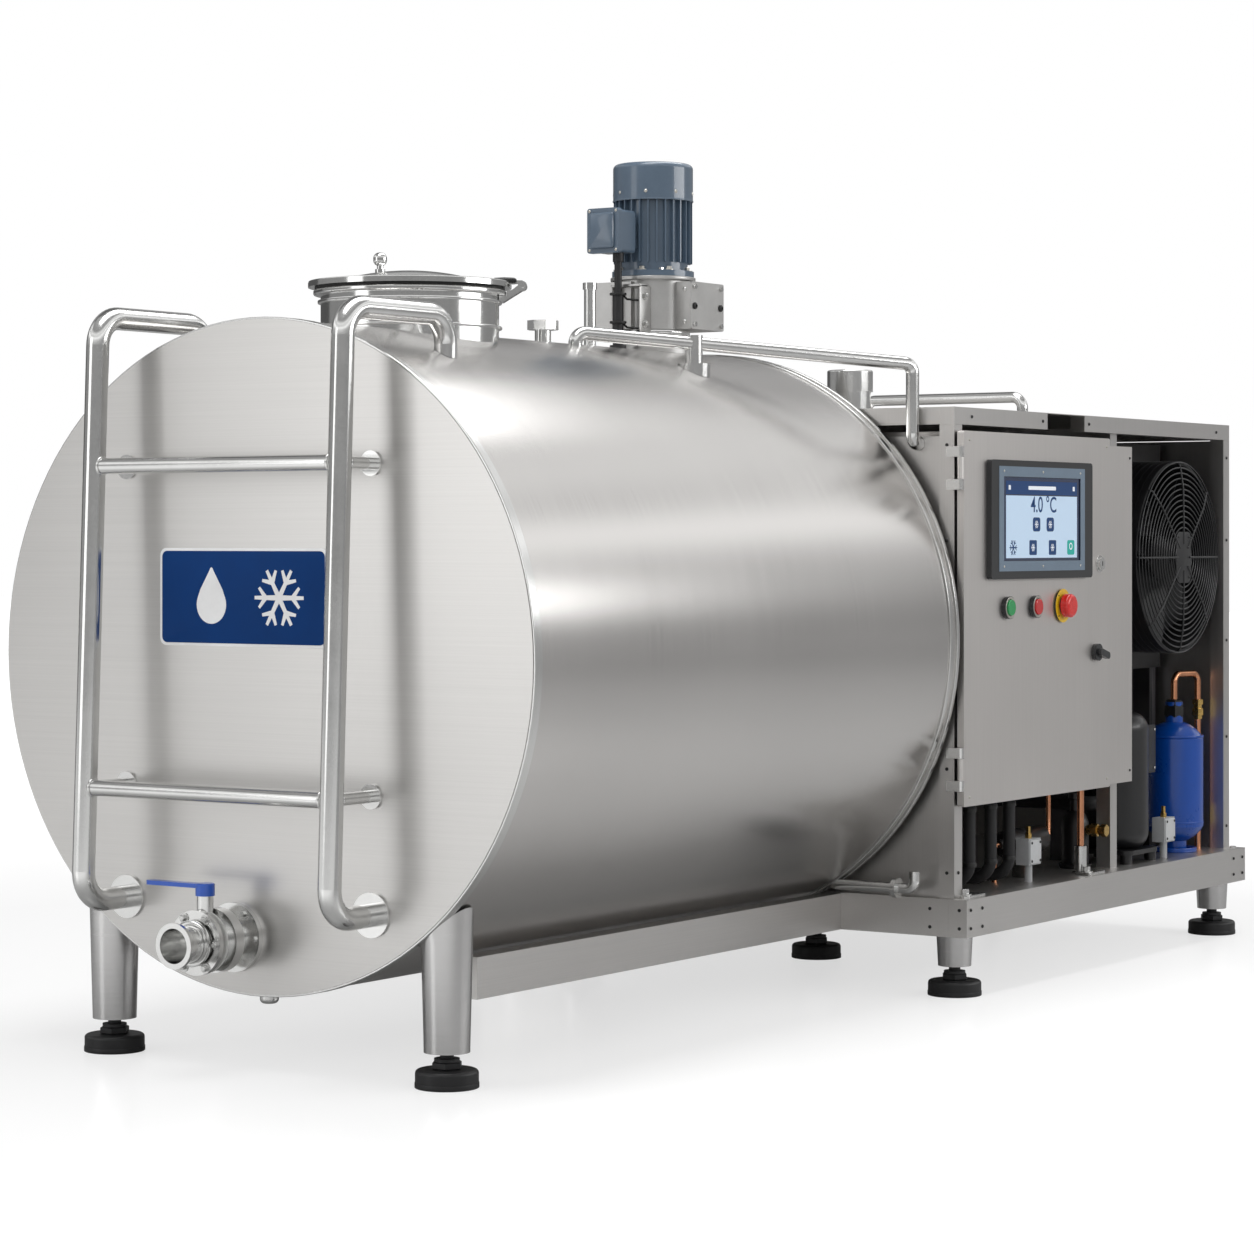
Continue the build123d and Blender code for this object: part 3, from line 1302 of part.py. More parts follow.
# Wire guard: concentric rings in front of flat spokes, round a hub plate
with BuildPart() as fan_guard:
    for ring in range(guard_rings):
        wire_reach = fan_guard_radius - ring * (
            (fan_guard_radius - hub_cover_radius) / guard_rings)
        with BuildSketch(guard_plane.offset(-guard_wire)):
            with Locations((fan_x, fan_centre_z)):
                Circle(wire_reach)
                Circle(wire_reach - 2 * guard_wire, mode=Mode.SUBTRACT)
        extrude(amount=2 * guard_wire)
    with BuildSketch(guard_plane.offset(-3 * guard_wire)):
        with Locations((fan_x, fan_centre_z)):
            with PolarLocations((fan_guard_radius + hub_cover_radius) / 2 - 4, guard_spokes):
                Rectangle(fan_guard_radius - hub_cover_radius + 2, 2 * guard_wire)
            RectangleRounded(2 * hub_cover_radius, 2.3 * hub_cover_radius, hub_cover_radius / 2)
    extrude(amount=2 * guard_wire + 0.5)
    with BuildSketch(guard_plane.offset(-2 * guard_wire)):
        with Locations((fan_x, fan_centre_z)):
            RectangleRounded(2 * hub_cover_radius, 2.3 * hub_cover_radius, hub_cover_radius / 2)
    extrude(amount=2 * guard_wire + 6)
    with BuildSketch(guard_plane.offset(-guard_depth)):
        with Locations((fan_x, fan_centre_z)):
            with PolarLocations(fan_guard_radius - 5, 4, start_angle=22.5):
                Circle(4)
    extrude(amount=guard_depth)
fan_guard.part.label = "fan_guard"
export_step(fan_guard.part, "parts/fan_guard.step")

# Ribbed round shroud with a back flange on the coil
with BuildPart() as fan_shroud:
    with BuildSketch(Plane.XZ.offset(-shroud_front_y)):
        with Locations((fan_x, fan_centre_z)):
            Circle(fan_guard_radius)
            Circle(fan_guard_radius - 2 * shroud_wall, mode=Mode.SUBTRACT)
    extrude(amount=-shroud_depth)
    for rib in range(1, shroud_ribs):
        with BuildSketch(Plane.XZ.offset(-shroud_front_y - rib * shroud_depth / shroud_ribs)):
            with Locations((fan_x, fan_centre_z)):
                Circle(fan_guard_radius + 1)
                Circle(fan_guard_radius - shroud_wall, mode=Mode.SUBTRACT)
        extrude(amount=-shroud_wall)
    with BuildSketch(Plane.XZ.offset(-shroud_back_y)):
        with Locations(((coil_low_x + coil_high_x) / 2, (coil_low_z + coil_high_z) / 2)):
            Rectangle(coil_high_x - coil_low_x, coil_high_z - coil_low_z)
        with Locations((fan_x, fan_centre_z)):
            Circle(fan_guard_radius - 2 * shroud_wall, mode=Mode.SUBTRACT)
    extrude(amount=-(coil_y - shroud_back_y - weld_gap))
    # Three arms behind the fan carry its motor
    arm_y = shroud_back_y - 12
    with BuildSketch(Plane.XZ.offset(-arm_y)):
        with Locations((fan_x, fan_centre_z)):
            with PolarLocations(fan_guard_radius / 2 + 10, 3, start_angle=90):
                Rectangle(fan_guard_radius - 4, 14)
            Circle(fan_motor_radius)
    extrude(amount=-6)
    with BuildSketch(Plane.XZ.offset(-arm_y)):
        with Locations((fan_x, fan_centre_z)):
            Circle(fan_motor_radius - 6)
    extrude(amount=60)
    with BuildSketch(Plane.XZ.offset(-arm_y + 60)):
        with Locations((fan_x, fan_centre_z)):
            Circle(8 + running_gap)
    extrude(amount=-40, mode=Mode.SUBTRACT)
fan_shroud.part.label = "fan_shroud"
export_step(fan_shroud.part, "parts/fan_shroud.step")

# Fan: a hub on the motor's shaft with pitched blades
fan_hub_y = arm_y - 60 - 3
blade_chord = 120
blade_sheet = 3
blade_pitch = 28
with BuildPart() as fan_blades:
    with BuildSketch(Plane.XZ.offset(-fan_hub_y)):
        with Locations((fan_x, fan_centre_z)):
            Circle(fan_hub_radius)
    extrude(amount=44)
    with BuildSketch(Plane.XZ.offset(-fan_hub_y)):
        with Locations((fan_x, fan_centre_z)):
            Circle(8)
    extrude(amount=-38)
    for blade in range(fan_blade_count):
        turn = 360 * blade / fan_blade_count
        with Locations(Location((fan_x, fan_hub_y - 22, fan_centre_z), (0, turn, 0))):
            with Locations(Location(((blade_radius + fan_hub_radius) / 2 - 4, 0, 0),
                                    (blade_pitch, 0, 0))):
                Box(blade_radius - fan_hub_radius + 8, blade_sheet, blade_chord)
fan_blades.part.label = "fan_blades"
export_step(fan_blades.part, "parts/fan_blades.step")

# Finned condenser coil in its frame, carried by two feet on the tray
with BuildPart() as condenser:
    add(block(coil_low_x, coil_high_x, coil_y, coil_y + coil_depth, coil_low_z, coil_high_z))
    for x in (coil_low_x, coil_high_x - post_width):
        add(block(x, x + post_width, coil_y + 10, coil_y + coil_depth - 10,
                  bay_floor_z, coil_low_z))
condenser.part.label = "condenser"
export_step(condenser.part, "parts/condenser.step")

# ---------------------------------------------------------------- refrigerant circuit

receiver_x = base_x + 1454
receiver_y = -600
receiver_radius = 80
receiver_low_z = 262
receiver_high_z = 600
receiver_dome = 30
receiver_neck_top_z = 652
with BuildPart() as receiver:
    with BuildSketch(Plane.XZ.offset(-receiver_y)):
        with BuildLine():
            Line((receiver_x, receiver_low_z), (receiver_x, receiver_high_z))
            TangentArc((receiver_x, receiver_high_z),
                       (receiver_x + receiver_radius, receiver_high_z - receiver_dome * 1.6),
                       tangent=(1, 0))
            Line((receiver_x + receiver_radius, receiver_high_z - receiver_dome * 1.6),
                 (receiver_x + receiver_radius, receiver_low_z + receiver_dome * 1.6))
            TangentArc((receiver_x, receiver_low_z),
                       (receiver_x + receiver_radius, receiver_low_z + receiver_dome * 1.6),
                       tangent=(1, 0))
        make_face()
    revolve(axis=Axis((receiver_x, receiver_y, 0), (0, 0, 1)))
    add(post(receiver_x, receiver_y, bay_floor_z, receiver_low_z + 14, 34))
    add(post(receiver_x, receiver_y, receiver_high_z - 6, receiver_neck_top_z, 24))
receiver.part.label = "receiver"
export_step(receiver.part, "parts/receiver.step")

# Hermetic compressor: a domed steel shell on a base plate, with its terminal cover
compressor_x = base_x + 1112
compressor_y = -575
compressor_radius = 96
compressor_base = 190
compressor_low_z = 268
compressor_high_z = 640
with BuildPart() as compressor:
    add(post(compressor_x, compressor_y, compressor_low_z, compressor_high_z, compressor_radius))
    fillet(compressor.edges().filter_by(GeomType.CIRCLE), 50)
    with BuildSketch(Plane.XY.offset(compressor_low_z - 6)):
        with Locations((compressor_x, compressor_y)):
            RectangleRounded(compressor_base, compressor_base, 24)
    extrude(amount=12)
    with Locations((compressor_x, compressor_y, bay_floor_z)):
        with GridLocations(compressor_base - 40, compressor_base - 40, 2, 2):
            Cylinder(16, compressor_low_z - 6 - bay_floor_z,
                     align=(Align.CENTER, Align.CENTER, Align.MIN))
    add(block(compressor_x + compressor_radius - 30, compressor_x + compressor_radius + 46,
              compressor_y - 60, compressor_y + 30, 470, 600))
compressor.part.label = "compressor"
export_step(compressor.part, "parts/compressor.step")

# Copper lines: compressor to coil, coil to receiver, liquid line and its steel-sleeved stub
copper = 9
liquid_x = base_x + 1567
stub_x = base_x + 757
stub_y = -652
coil_inlet_x = coil_low_x + 180
with BuildPart() as copper_pipes:
    add(bent_tube([(compressor_x, compressor_y, compressor_high_z + weld_gap),
                   (compressor_x, compressor_y, 705),
                   (compressor_x, coil_y + coil_depth + 60, 705),
                   (coil_inlet_x, coil_y + coil_depth + 60, 705),
                   (coil_inlet_x, coil_y + coil_depth + 60, 1100),
                   (coil_inlet_x, coil_y + coil_depth + weld_gap, 1100)], 24, copper))
    add(bent_tube([(receiver_x, receiver_y, receiver_neck_top_z + weld_gap),
                   (receiver_x, receiver_y, 728),
                   (liquid_x, receiver_y - 20, 728),
                   (liquid_x, receiver_y - 20, bay_floor_z)], 24, copper))
    add(bent_tube([(stub_x, stub_y, bay_floor_z), (stub_x, stub_y, door_bottom_z)], 0, copper))
copper_pipes.part.label = "copper_pipes"
export_step(copper_pipes.part, "parts/copper_pipes.step")

# Insulated hoses that drop from the control box and run back under it
hose = 15
hose_y = -636
hose_back_y = -330
suction_y = -250
suction_z = 400
with BuildPart() as insulated_hoses:
    for offset in (160, 272, 372):
        hose_x = door_x + offset
        add(bent_tube([(hose_x, hose_y, door_bottom_z - weld_gap),
                       (hose_x, hose_y, bay_floor_z + hose + 8),
                       (hose_x, hose_back_y, bay_floor_z + hose + 8)], 50, hose))
        add(block(hose_x - 20, hose_x + 20, hose_back_y - 30, hose_back_y, bay_floor_z,
                  bay_floor_z + hose + 30))
    # Suction line from the compressor to the tank's jacket
    suction_x = compressor_x - compressor_radius - 36
    add(bent_tube([(compressor_x - compressor_radius - weld_gap, compressor_y, suction_z),
                   (suction_x, compressor_y, suction_z),
                   (suction_x, suction_y, suction_z),
                   (bay_x + 12 + sheet + weld_gap, suction_y, suction_z)], 30, hose + 4))
insulated_hoses.part.label = "insulated_hoses"
export_step(insulated_hoses.part, "parts/insulated_hoses.step")

# Pressure switches: small square cases on pins that stand on the tray
switch_size = 66
switch_depth = 36
with BuildPart() as pressure_switches:
    for x, y in ((base_x + 482, -640), (base_x + 1262, -655)):
        add(block(x - switch_size / 2, x + switch_size / 2, y - switch_depth / 2,
                  y + switch_depth / 2, 282, 282 + switch_size))
        add(post(x, y, bay_floor_z, 282, 10))
pressure_switches.part.label = "pressure_switches"
export_step(pressure_switches.part, "parts/pressure_switches.step")

# ---------------------------------------------------------------- on the roof

roof_z = bay_top_z + sheet
vent_x = base_x + 422
vent_y = -157
vent_radius = 59
vent_stub_top_z = 1508
vent_cap_top_z = 1540
roof_pipe_x = base_x + 1122
roof_pipe_z = 1492
roof_pipe_radius = 15
with BuildPart() as roof_fittings:
    add(post(vent_x, vent_y, roof_z, vent_stub_top_z, vent_radius - 5, vent_radius - 8))
    add(post(vent_x, vent_y, roof_z, roof_z + 8, vent_radius + 12, vent_radius - 8))
    add(bent_tube([(roof_pipe_x, 190, roof_z), (roof_pipe_x, 190, roof_pipe_z),
                   (roof_pipe_x, -300, roof_pipe_z), (roof_pipe_x, -300, roof_z)],
                  30, roof_pipe_radius))
    for y in (190, -300):
        add(post(roof_pipe_x, y, roof_z, roof_z + 8, roof_pipe_radius + 14))
roof_fittings.part.label = "roof_fittings"
export_step(roof_fittings.part, "parts/roof_fittings.step")

# Loose cap over the vent's end
with BuildPart() as vent_cap:
    add(post(vent_x, vent_y, vent_stub_top_z - 24, vent_cap_top_z, vent_radius))
    add(post(vent_x, vent_y, vent_stub_top_z - 24, vent_stub_top_z + weld_gap,
             vent_radius - 5 + slide_gap), mode=Mode.SUBTRACT)
    fillet(vent_cap.edges().filter_by(GeomType.CIRCLE).group_by(Axis.Z)[-1], 5)
vent_cap.part.label = "vent_cap"
export_step(vent_cap.part, "parts/vent_cap.step")

# ---------------------------------------------------------------- bolts

# Hexagon heads and cap screws that lie on the faces that they clamp
bolt_head = 6.5
bolt_thickness = 5
with BuildPart() as bolts:
    # Gearbox cover
    cover_y = case_y_low - weld_gap - cover_thickness
    with BuildSketch(Plane.XZ.offset(-cover_y)):
        for x in (case_x_low + 14, case_x_high - 14):
            for z in (gearbox_floor_z + 12, gearbox_top_z - 22):
                with Locations((x, z)):
                    RegularPolygon(bolt_head, 6)
    extrude(amount=bolt_thickness)
    # Motor flange
    with BuildSketch(Plane.XY.offset(motor_flange_z + flange_thickness)):
        with Locations((agitator_x, 0)):
            with PolarLocations(flange_radius - 8, 4, start_angle=45):
                RegularPolygon(bolt_head, 6)
    extrude(amount=bolt_thickness)
    # Outlet flange on the end plate
    with BuildSketch(Plane.YZ.offset(front_x - 12)):
        with Locations((outlet_y, outlet_z)):
            with PolarLocations(58, 6):
                RegularPolygon(bolt_head, 6)
    extrude(amount=-bolt_thickness)
    # Corner posts on the tray's front ledge
    with BuildSketch(Plane.XY.offset(bay_floor_z)):
        for x in (bay_x + 20, bay_end_x - 20):
            with Locations((x, -bay_half_width - 20)):
                RegularPolygon(bolt_head + 2, 6)
    extrude(amount=bolt_thickness + 1)
bolts.part.label = "bolts"
export_step(bolts.part, "parts/bolts.step")
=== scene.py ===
"""Finish and surface detail of a bulk milk tank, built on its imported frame."""

from math import cos, pi, radians, sin

import bpy
from mathutils import Matrix, Vector


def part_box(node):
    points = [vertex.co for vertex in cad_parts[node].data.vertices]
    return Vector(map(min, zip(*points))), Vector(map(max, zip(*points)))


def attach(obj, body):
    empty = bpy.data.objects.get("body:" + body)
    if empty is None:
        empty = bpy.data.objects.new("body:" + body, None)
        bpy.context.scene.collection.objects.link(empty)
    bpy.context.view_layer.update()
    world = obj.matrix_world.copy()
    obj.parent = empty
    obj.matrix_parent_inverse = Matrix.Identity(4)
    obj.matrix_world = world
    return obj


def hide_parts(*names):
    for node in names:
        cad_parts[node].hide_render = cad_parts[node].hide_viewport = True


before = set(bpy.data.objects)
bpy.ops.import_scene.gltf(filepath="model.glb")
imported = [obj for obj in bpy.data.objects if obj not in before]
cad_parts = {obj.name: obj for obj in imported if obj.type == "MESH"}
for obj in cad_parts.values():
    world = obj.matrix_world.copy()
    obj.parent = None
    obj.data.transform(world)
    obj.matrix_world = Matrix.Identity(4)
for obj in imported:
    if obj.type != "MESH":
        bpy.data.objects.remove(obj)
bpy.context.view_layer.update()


# ------------------------------------------------------------------ studio
# A pale seamless floor in a white surround, lit by long soft panels beside and over
# the tank. The camera stands at chest height off the ladder end, on the control side.
CAMERA_PLACE = (-7.030, -4.500, 1.106)
CAMERA_HEADING = radians(-56.5)
LENS = 96.9
FRAME_SHIFT = -0.071

bpy.ops.object.select_all(action="DESELECT")
bpy.ops.object.camera_add(location=CAMERA_PLACE, rotation=(pi / 2, 0, CAMERA_HEADING))
camera = bpy.context.object
camera.data.lens = LENS
camera.data.shift_y = FRAME_SHIFT
camera.data.clip_end = 200
bpy.context.scene.camera = camera
bpy.context.scene.view_settings.view_transform = "Standard"


class Signal:
    """A shader socket that takes part in arithmetic."""

    def __init__(self, tree, socket):
        self.tree = tree
        self.socket = socket

    def join(self, operation, first, second):
        node = self.tree.nodes.new("ShaderNodeMath")
        node.operation = operation
        for target, value in zip(node.inputs, (first, second)):
            if isinstance(value, Signal):
                self.tree.links.new(value.socket, target)
            else:
                target.default_value = value
        return Signal(self.tree, node.outputs[0])

    def __add__(self, other):
        return self.join("ADD", self, other)

    def __rsub__(self, other):
        return self.join("SUBTRACT", other, self)

    def __mul__(self, other):
        return self.join("MULTIPLY", self, other)

    def __gt__(self, other):
        return self.join("GREATER_THAN", self, other)

    __radd__ = __add__
    __rmul__ = __mul__


class Finish:
    """A material and the nodes that make its surface."""

    def __init__(self, name, colour, rough=0.4, metal=0.0, **more):
        self.material = bpy.data.materials.new(name)
        self.material.use_nodes = True
        self.material.diffuse_color = (*colour, 1)
        self.tree = self.material.node_tree
        self.shader = self.tree.nodes["Principled BSDF"]
        self.colour = colour
        self.put("Base Color", colour)
        self.put("Roughness", rough)
        self.put("Metallic", metal)
        for socket, value in more.items():
            self.put(socket.replace("_", " "), value)

    def put(self, socket, value):
        """Set one of the shader's sockets to a value, a colour or a signal."""
        target = self.shader.inputs[socket]
        if isinstance(value, Signal):
            self.tree.links.new(value.socket, target)
        elif isinstance(value, tuple):
            target.default_value = (*value, 1)
        else:
            target.default_value = value

    def node(self, kind, settings, sockets, out=0):
        """Add a node: its settings first, then the values or links of its sockets."""
        added = self.tree.nodes.new(kind)
        for key, value in settings.items():
            setattr(added, key, value)
        for key, value in sockets.items():
            if isinstance(value, Signal):
                self.tree.links.new(value.socket, added.inputs[key])
            else:
                added.inputs[key].default_value = value
        return Signal(self.tree, added.outputs[out])

    def noise(self, cells, detail=3.0, rough=0.55, shift=(0, 0, 0)):
        """Smooth noise from 0 to 1, given in cells per metre along each axis."""
        place = self.node("ShaderNodeTexCoord", {}, {}, "Object")
        spread = self.node("ShaderNodeMapping", {}, {"Vector": place, "Scale": cells, "Location": shift})
        return self.node("ShaderNodeTexNoise", {}, {
            "Vector": spread, "Scale": 1.0, "Detail": detail, "Roughness": rough})

    def stretch(self, signal, low, high):
        """Spread the part of a signal between two values over 0 to 1."""
        return self.node("ShaderNodeMapRange", {}, {
            "Value": signal, "From Min": low, "From Max": high})

    def blend(self, amount, low, high):
        """A colour between two colours."""
        mix = self.tree.nodes.new("ShaderNodeMix")
        mix.data_type = "RGBA"
        self.tree.links.new(amount.socket, mix.inputs[0])
        for target, value in zip((mix.inputs[6], mix.inputs[7]), (low, high)):
            if isinstance(value, Signal):
                self.tree.links.new(value.socket, target)
            else:
                target.default_value = (*value, 1)
        return Signal(self.tree, mix.outputs[2])

    def shade(self, amount, low, high):
        """The finish's own colour, darker or lighter by a factor."""
        dark = tuple(min(1, value * low) for value in self.colour)
        light = tuple(min(1, value * high) for value in self.colour)
        self.put("Base Color", self.blend(amount, dark, light))

    def bump(self, height, strength, distance):
        """Fine relief from a height signal."""
        self.put("Normal", self.node("ShaderNodeBump", {}, {
            "Height": height, "Strength": strength, "Distance": distance}))


# The floor glows, so that it fades to white far off, and lights the tank's ladder end
floor_finish = Finish("studio_floor", (0.50, 0.50, 0.50), rough=0.20)
floor_finish.put("Specular IOR Level", 0.30)
spot = floor_finish.node("ShaderNodeTexCoord", {}, {}, "Object")
span = floor_finish.node("ShaderNodeVectorMath", {"operation": "LENGTH"}, {0: spot}, "Value")
far_off = floor_finish.stretch(span, 2.6, 8.0)
beyond_ladder = floor_finish.stretch(floor_finish.node("ShaderNodeSeparateXYZ", {}, {0: spot}), -2.0, -3.4)
seen = floor_finish.node("ShaderNodeLightPath", {}, {}, "Is Camera Ray")
lit_end = floor_finish.blend(beyond_ladder, (0.02, 0.02, 0.02), (0.60, 0.60, 0.60))
fade = floor_finish.blend(far_off, (0.64, 0.64, 0.64), (1.0, 1.0, 1.0))
floor_finish.put("Emission Color", floor_finish.blend(seen, lit_end, fade))
floor_finish.put("Emission Strength", 1.0)
bpy.ops.mesh.primitive_plane_add(size=80, location=(0, 0, -0.0005))
floor = bpy.context.object
floor.name = "studio_floor"
floor.data.materials.append(floor_finish.material)

# The surround is white to the eye, and graded from floor to ceiling in the steel
world = bpy.data.worlds.new("studio")
bpy.context.scene.world = world
world.use_nodes = True
surround = world.node_tree
backdrop = surround.nodes["Background"]
rays = surround.nodes.new("ShaderNodeLightPath")
direction = surround.nodes.new("ShaderNodeTexCoord")
height = surround.nodes.new("ShaderNodeSeparateXYZ")
grade = surround.nodes.new("ShaderNodeValToRGB")
white = surround.nodes.new("ShaderNodeMix")
white.data_type = "RGBA"
surround.links.new(direction.outputs["Generated"], height.inputs[0])
level = Signal(surround, height.outputs["Z"]) * 0.5 + 0.5
surround.links.new(level.socket, grade.inputs[0])
stops = ((0.0, 0.30), (0.49, 0.42), (0.53, 0.26), (0.61, 0.44), (0.65, 0.66), (0.69, 1.75),
         (0.725, 0.50), (0.765, 1.30), (0.82, 0.30), (1.0, 0.60))
while len(grade.color_ramp.elements) < len(stops):
    grade.color_ramp.elements.new(0.5)
for element, (place, value) in zip(grade.color_ramp.elements, stops):
    element.position = place
    element.color = (value, value, value, 1)
surround.links.new(rays.outputs["Is Camera Ray"], white.inputs[0])
behind = Signal(surround, height.outputs["Y"]) * 4.0 * (Signal(surround, height.outputs["X"]) > 0.0)
shaded = surround.nodes.new("ShaderNodeClamp")
surround.links.new(behind.socket, shaded.inputs[0])
tone = Signal(surround, grade.outputs[0]) * (1.0 - Signal(surround, shaded.outputs[0]) * 0.65)
surround.links.new(tone.socket, white.inputs[6])
white.inputs[7].default_value = (1, 1, 1, 1)
surround.links.new(white.outputs[2], backdrop.inputs["Color"])
backdrop.inputs["Strength"].default_value = 1.0


def soft_panel(name, place, aim, size, power):
    """A large soft light that faces a point."""
    facing = (Vector(aim) - Vector(place)).to_track_quat("-Z", "Y").to_euler()
    bpy.ops.object.light_add(type="AREA", location=place, rotation=facing)
    light = bpy.context.object
    light.name = name
    light.data.shape = "RECTANGLE"
    light.data.size, light.data.size_y = size
    light.data.energy = power


soft_panel("overhead_panel", (0.0, -0.4, 5.2), (0.0, 0.0, 1.0), (7.0, 2.0), 190)
soft_panel("ladder_panel", (-7.5, 3.2, 2.2), (-1.6, 0.0, 0.9), (2.4, 3.4), 40)
soft_panel("control_panel", (3.0, -6.5, 2.6), (0.4, 0.0, 0.9), (5.0, 1.0), 90)


# ------------------------------------------------------------------ tank shell and ends
# The outer jacket is 2 mm stainless, brushed round the tank, with a flat sheet at each
# end that is brushed level. Rolled beads cover the rims. All are welded up and cleaned.
def brushed(name, cells, colour=(0.60, 0.59, 0.575), rough=0.27, wave=1.4):
    """Stainless sheet with directional grain, given in cells per metre."""
    steel = Finish(name, colour, rough=rough, metal=1.0)
    grain = steel.noise(cells, detail=6.0, rough=0.72)
    cloud = steel.noise((wave, wave, wave), detail=2.0, shift=(3, 1, 7))
    steel.shade(grain * 0.6 + cloud * 0.4, 0.84, 1.16)
    steel.put("Roughness", rough - 0.06 + 0.10 * grain + 0.05 * cloud)
    steel.bump(grain * 0.006 + cloud, 0.045, 0.008)
    return steel.material


def cover(node, material):
    """Give a CAD node its finish."""
    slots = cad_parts[node].data.materials
    slots.clear()
    slots.append(material)


cover("outer_shell", brushed("shell_brushed", (320, 1.4, 1.4), colour=(0.61, 0.595, 0.58), rough=0.23))
cover("end_plates", brushed("end_brushed", (1.4, 1.4, 320), rough=0.32))
rim_brushed = brushed("rim_brushed", (60, 4, 4), colour=(0.66, 0.66, 0.65), rough=0.20)
cover("rim_bands", rim_brushed)


# ------------------------------------------------------------------ plain metal finishes
# Tube and turned fittings are mechanically polished. Sections of the frame are bought
# with a satin face, and their welds are dressed by hand.
def polished(name, colour=(0.70, 0.70, 0.69), rough=0.15):
    """Mechanically polished stainless with faint polishing marks."""
    steel = Finish(name, colour, rough=rough, metal=1.0)
    marks = steel.noise((160, 160, 160), detail=4.0, rough=0.7)
    haze = steel.noise((9, 9, 9), detail=2.0)
    steel.shade(haze * 0.6 + marks * 0.4, 0.86, 1.12)
    steel.put("Roughness", rough - 0.05 + 0.08 * marks + 0.07 * haze)
    steel.bump(marks, 0.05, 0.0005)
    return steel.material


tube_polish = polished("tube_polish")
for node in ("cip_pipe", "tank_fittings", "outlet_pipe", "valve_body", "valve_disc", "ladder_stringers",
             "ladder_rungs", "lid_hinge_bracket", "roof_fittings", "vent_cap", "agitator"):
    cover(node, tube_polish)
neck_polish = polished("neck_polish", rough=0.12)
cover("inner_vessel", neck_polish)
cover("evaporator_jacket", rim_brushed)

frame_satin = brushed("frame_satin", (4, 420, 420), colour=(0.63, 0.615, 0.60), rough=0.34)
post_satin = brushed("post_satin", (420, 420, 4), colour=(0.63, 0.615, 0.60), rough=0.34)
cover("base_frame", frame_satin)
cover("base_tray", frame_satin)
cover("legs", brushed("leg_brushed", (4, 4, 140), colour=(0.58, 0.575, 0.57), rough=0.24))
cover("bay_frame", post_satin)
cover("bay_panels", post_satin)
cover("hinge_leaves", tube_polish)
cover("bolts", tube_polish)


# ------------------------------------------------------------------ front sign
# A printed aluminium plate, bonded to the front sheet between the ladder's rails. Its
# white picture shows a drop of milk and an ice crystal.
UPWARD = (0, 0, 1)


def coated(name, colour, rough, coat=0.0, mottle=60, depth=0.0006, **more):
    """Paint or moulded plastic with a light orange-peel surface."""
    paint = Finish(name, colour, rough=rough, **more)
    paint.put("Coat Weight", coat)
    paint.put("Coat Roughness", 0.08)
    peel = paint.noise((mottle, mottle, mottle), detail=3.0)
    dust = paint.noise((7, 7, 7), detail=5.0, rough=0.65)
    paint.shade(dust * 0.7 + peel * 0.3, 0.80, 1.25)
    paint.put("Roughness", rough - 0.06 + 0.12 * dust + 0.05 * peel)
    paint.bump(peel, 0.15, depth)
    return paint.material


def pick(*pieces):
    """Select only these pieces, the first one active."""
    bpy.ops.object.select_all(action="DESELECT")
    for piece in pieces:
        piece.select_set(True)
    bpy.context.view_layer.objects.active = pieces[0]


def settle(piece):
    """Move a piece's place, turn and size into its mesh."""
    pick(piece)
    bpy.ops.object.transform_apply(location=True, rotation=True, scale=True)
    return piece


def edges_near(piece, test):
    """In edit mode, select only the edges whose two ends pass a test."""
    bpy.ops.mesh.select_all(action="DESELECT")
    bpy.ops.mesh.select_mode(type="EDGE")
    bpy.ops.object.mode_set(mode="OBJECT")
    points = piece.data.vertices
    for edge in piece.data.edges:
        a, b = (points[i].co for i in edge.vertices)
        edge.select = test(a, b)
    bpy.ops.object.mode_set(mode="EDIT")


def soften(piece, width, segments=2, angle=40):
    """Break the sharp edges with a bevel and shade the rest smooth."""
    pick(piece)
    if width > 0:
        bevel = piece.modifiers.new("edges", "BEVEL")
        bevel.width = width
        bevel.segments = segments
        bevel.limit_method = "ANGLE"
        bevel.angle_limit = radians(angle)
        bpy.ops.object.modifier_apply(modifier=bevel.name)
    bpy.ops.object.shade_smooth_by_angle(angle=radians(angle))
    return piece


def plate(name, low, high, thin, corner=0.0, edge=0.0, rounds=6):
    """A plate between two corners, rounded about the axis (0, 1 or 2) that it is thin along."""
    low, high = Vector(low), Vector(high)
    bpy.ops.mesh.primitive_cube_add(size=1, location=(low + high) / 2, scale=high - low)
    piece = bpy.context.object
    piece.name = name
    settle(piece)
    if corner > 0:
        bpy.ops.object.mode_set(mode="EDIT")
        edges_near(piece, lambda a, b: abs((a - b)[thin]) > 0.9 * (high - low)[thin])
        bpy.ops.mesh.bevel(offset=corner, segments=rounds)
        bpy.ops.object.mode_set(mode="OBJECT")
    return soften(piece, edge)


def finished(piece, material, body, stands_for=()):
    """Paint a piece, set it on its body and hide the parts that it stands for."""
    piece.data.materials.clear()
    piece.data.materials.append(material)
    settle(piece)
    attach(piece, body)
    if stands_for:
        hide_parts(*stands_for)
    return piece


def joined(name, pieces):
    """Join pieces into one."""
    pick(*pieces)
    if len(pieces) > 1:
        bpy.ops.object.join()
    piece = bpy.context.object
    piece.name = name
    return piece


def stood(piece, place, axis):
    """Stand a piece that was made at the origin, along +Z, on a place and along an axis."""
    piece.rotation_mode = "QUATERNION"
    piece.rotation_quaternion = Vector((0, 0, 1)).rotation_difference(Vector(axis))
    piece.location = place
    return settle(piece)


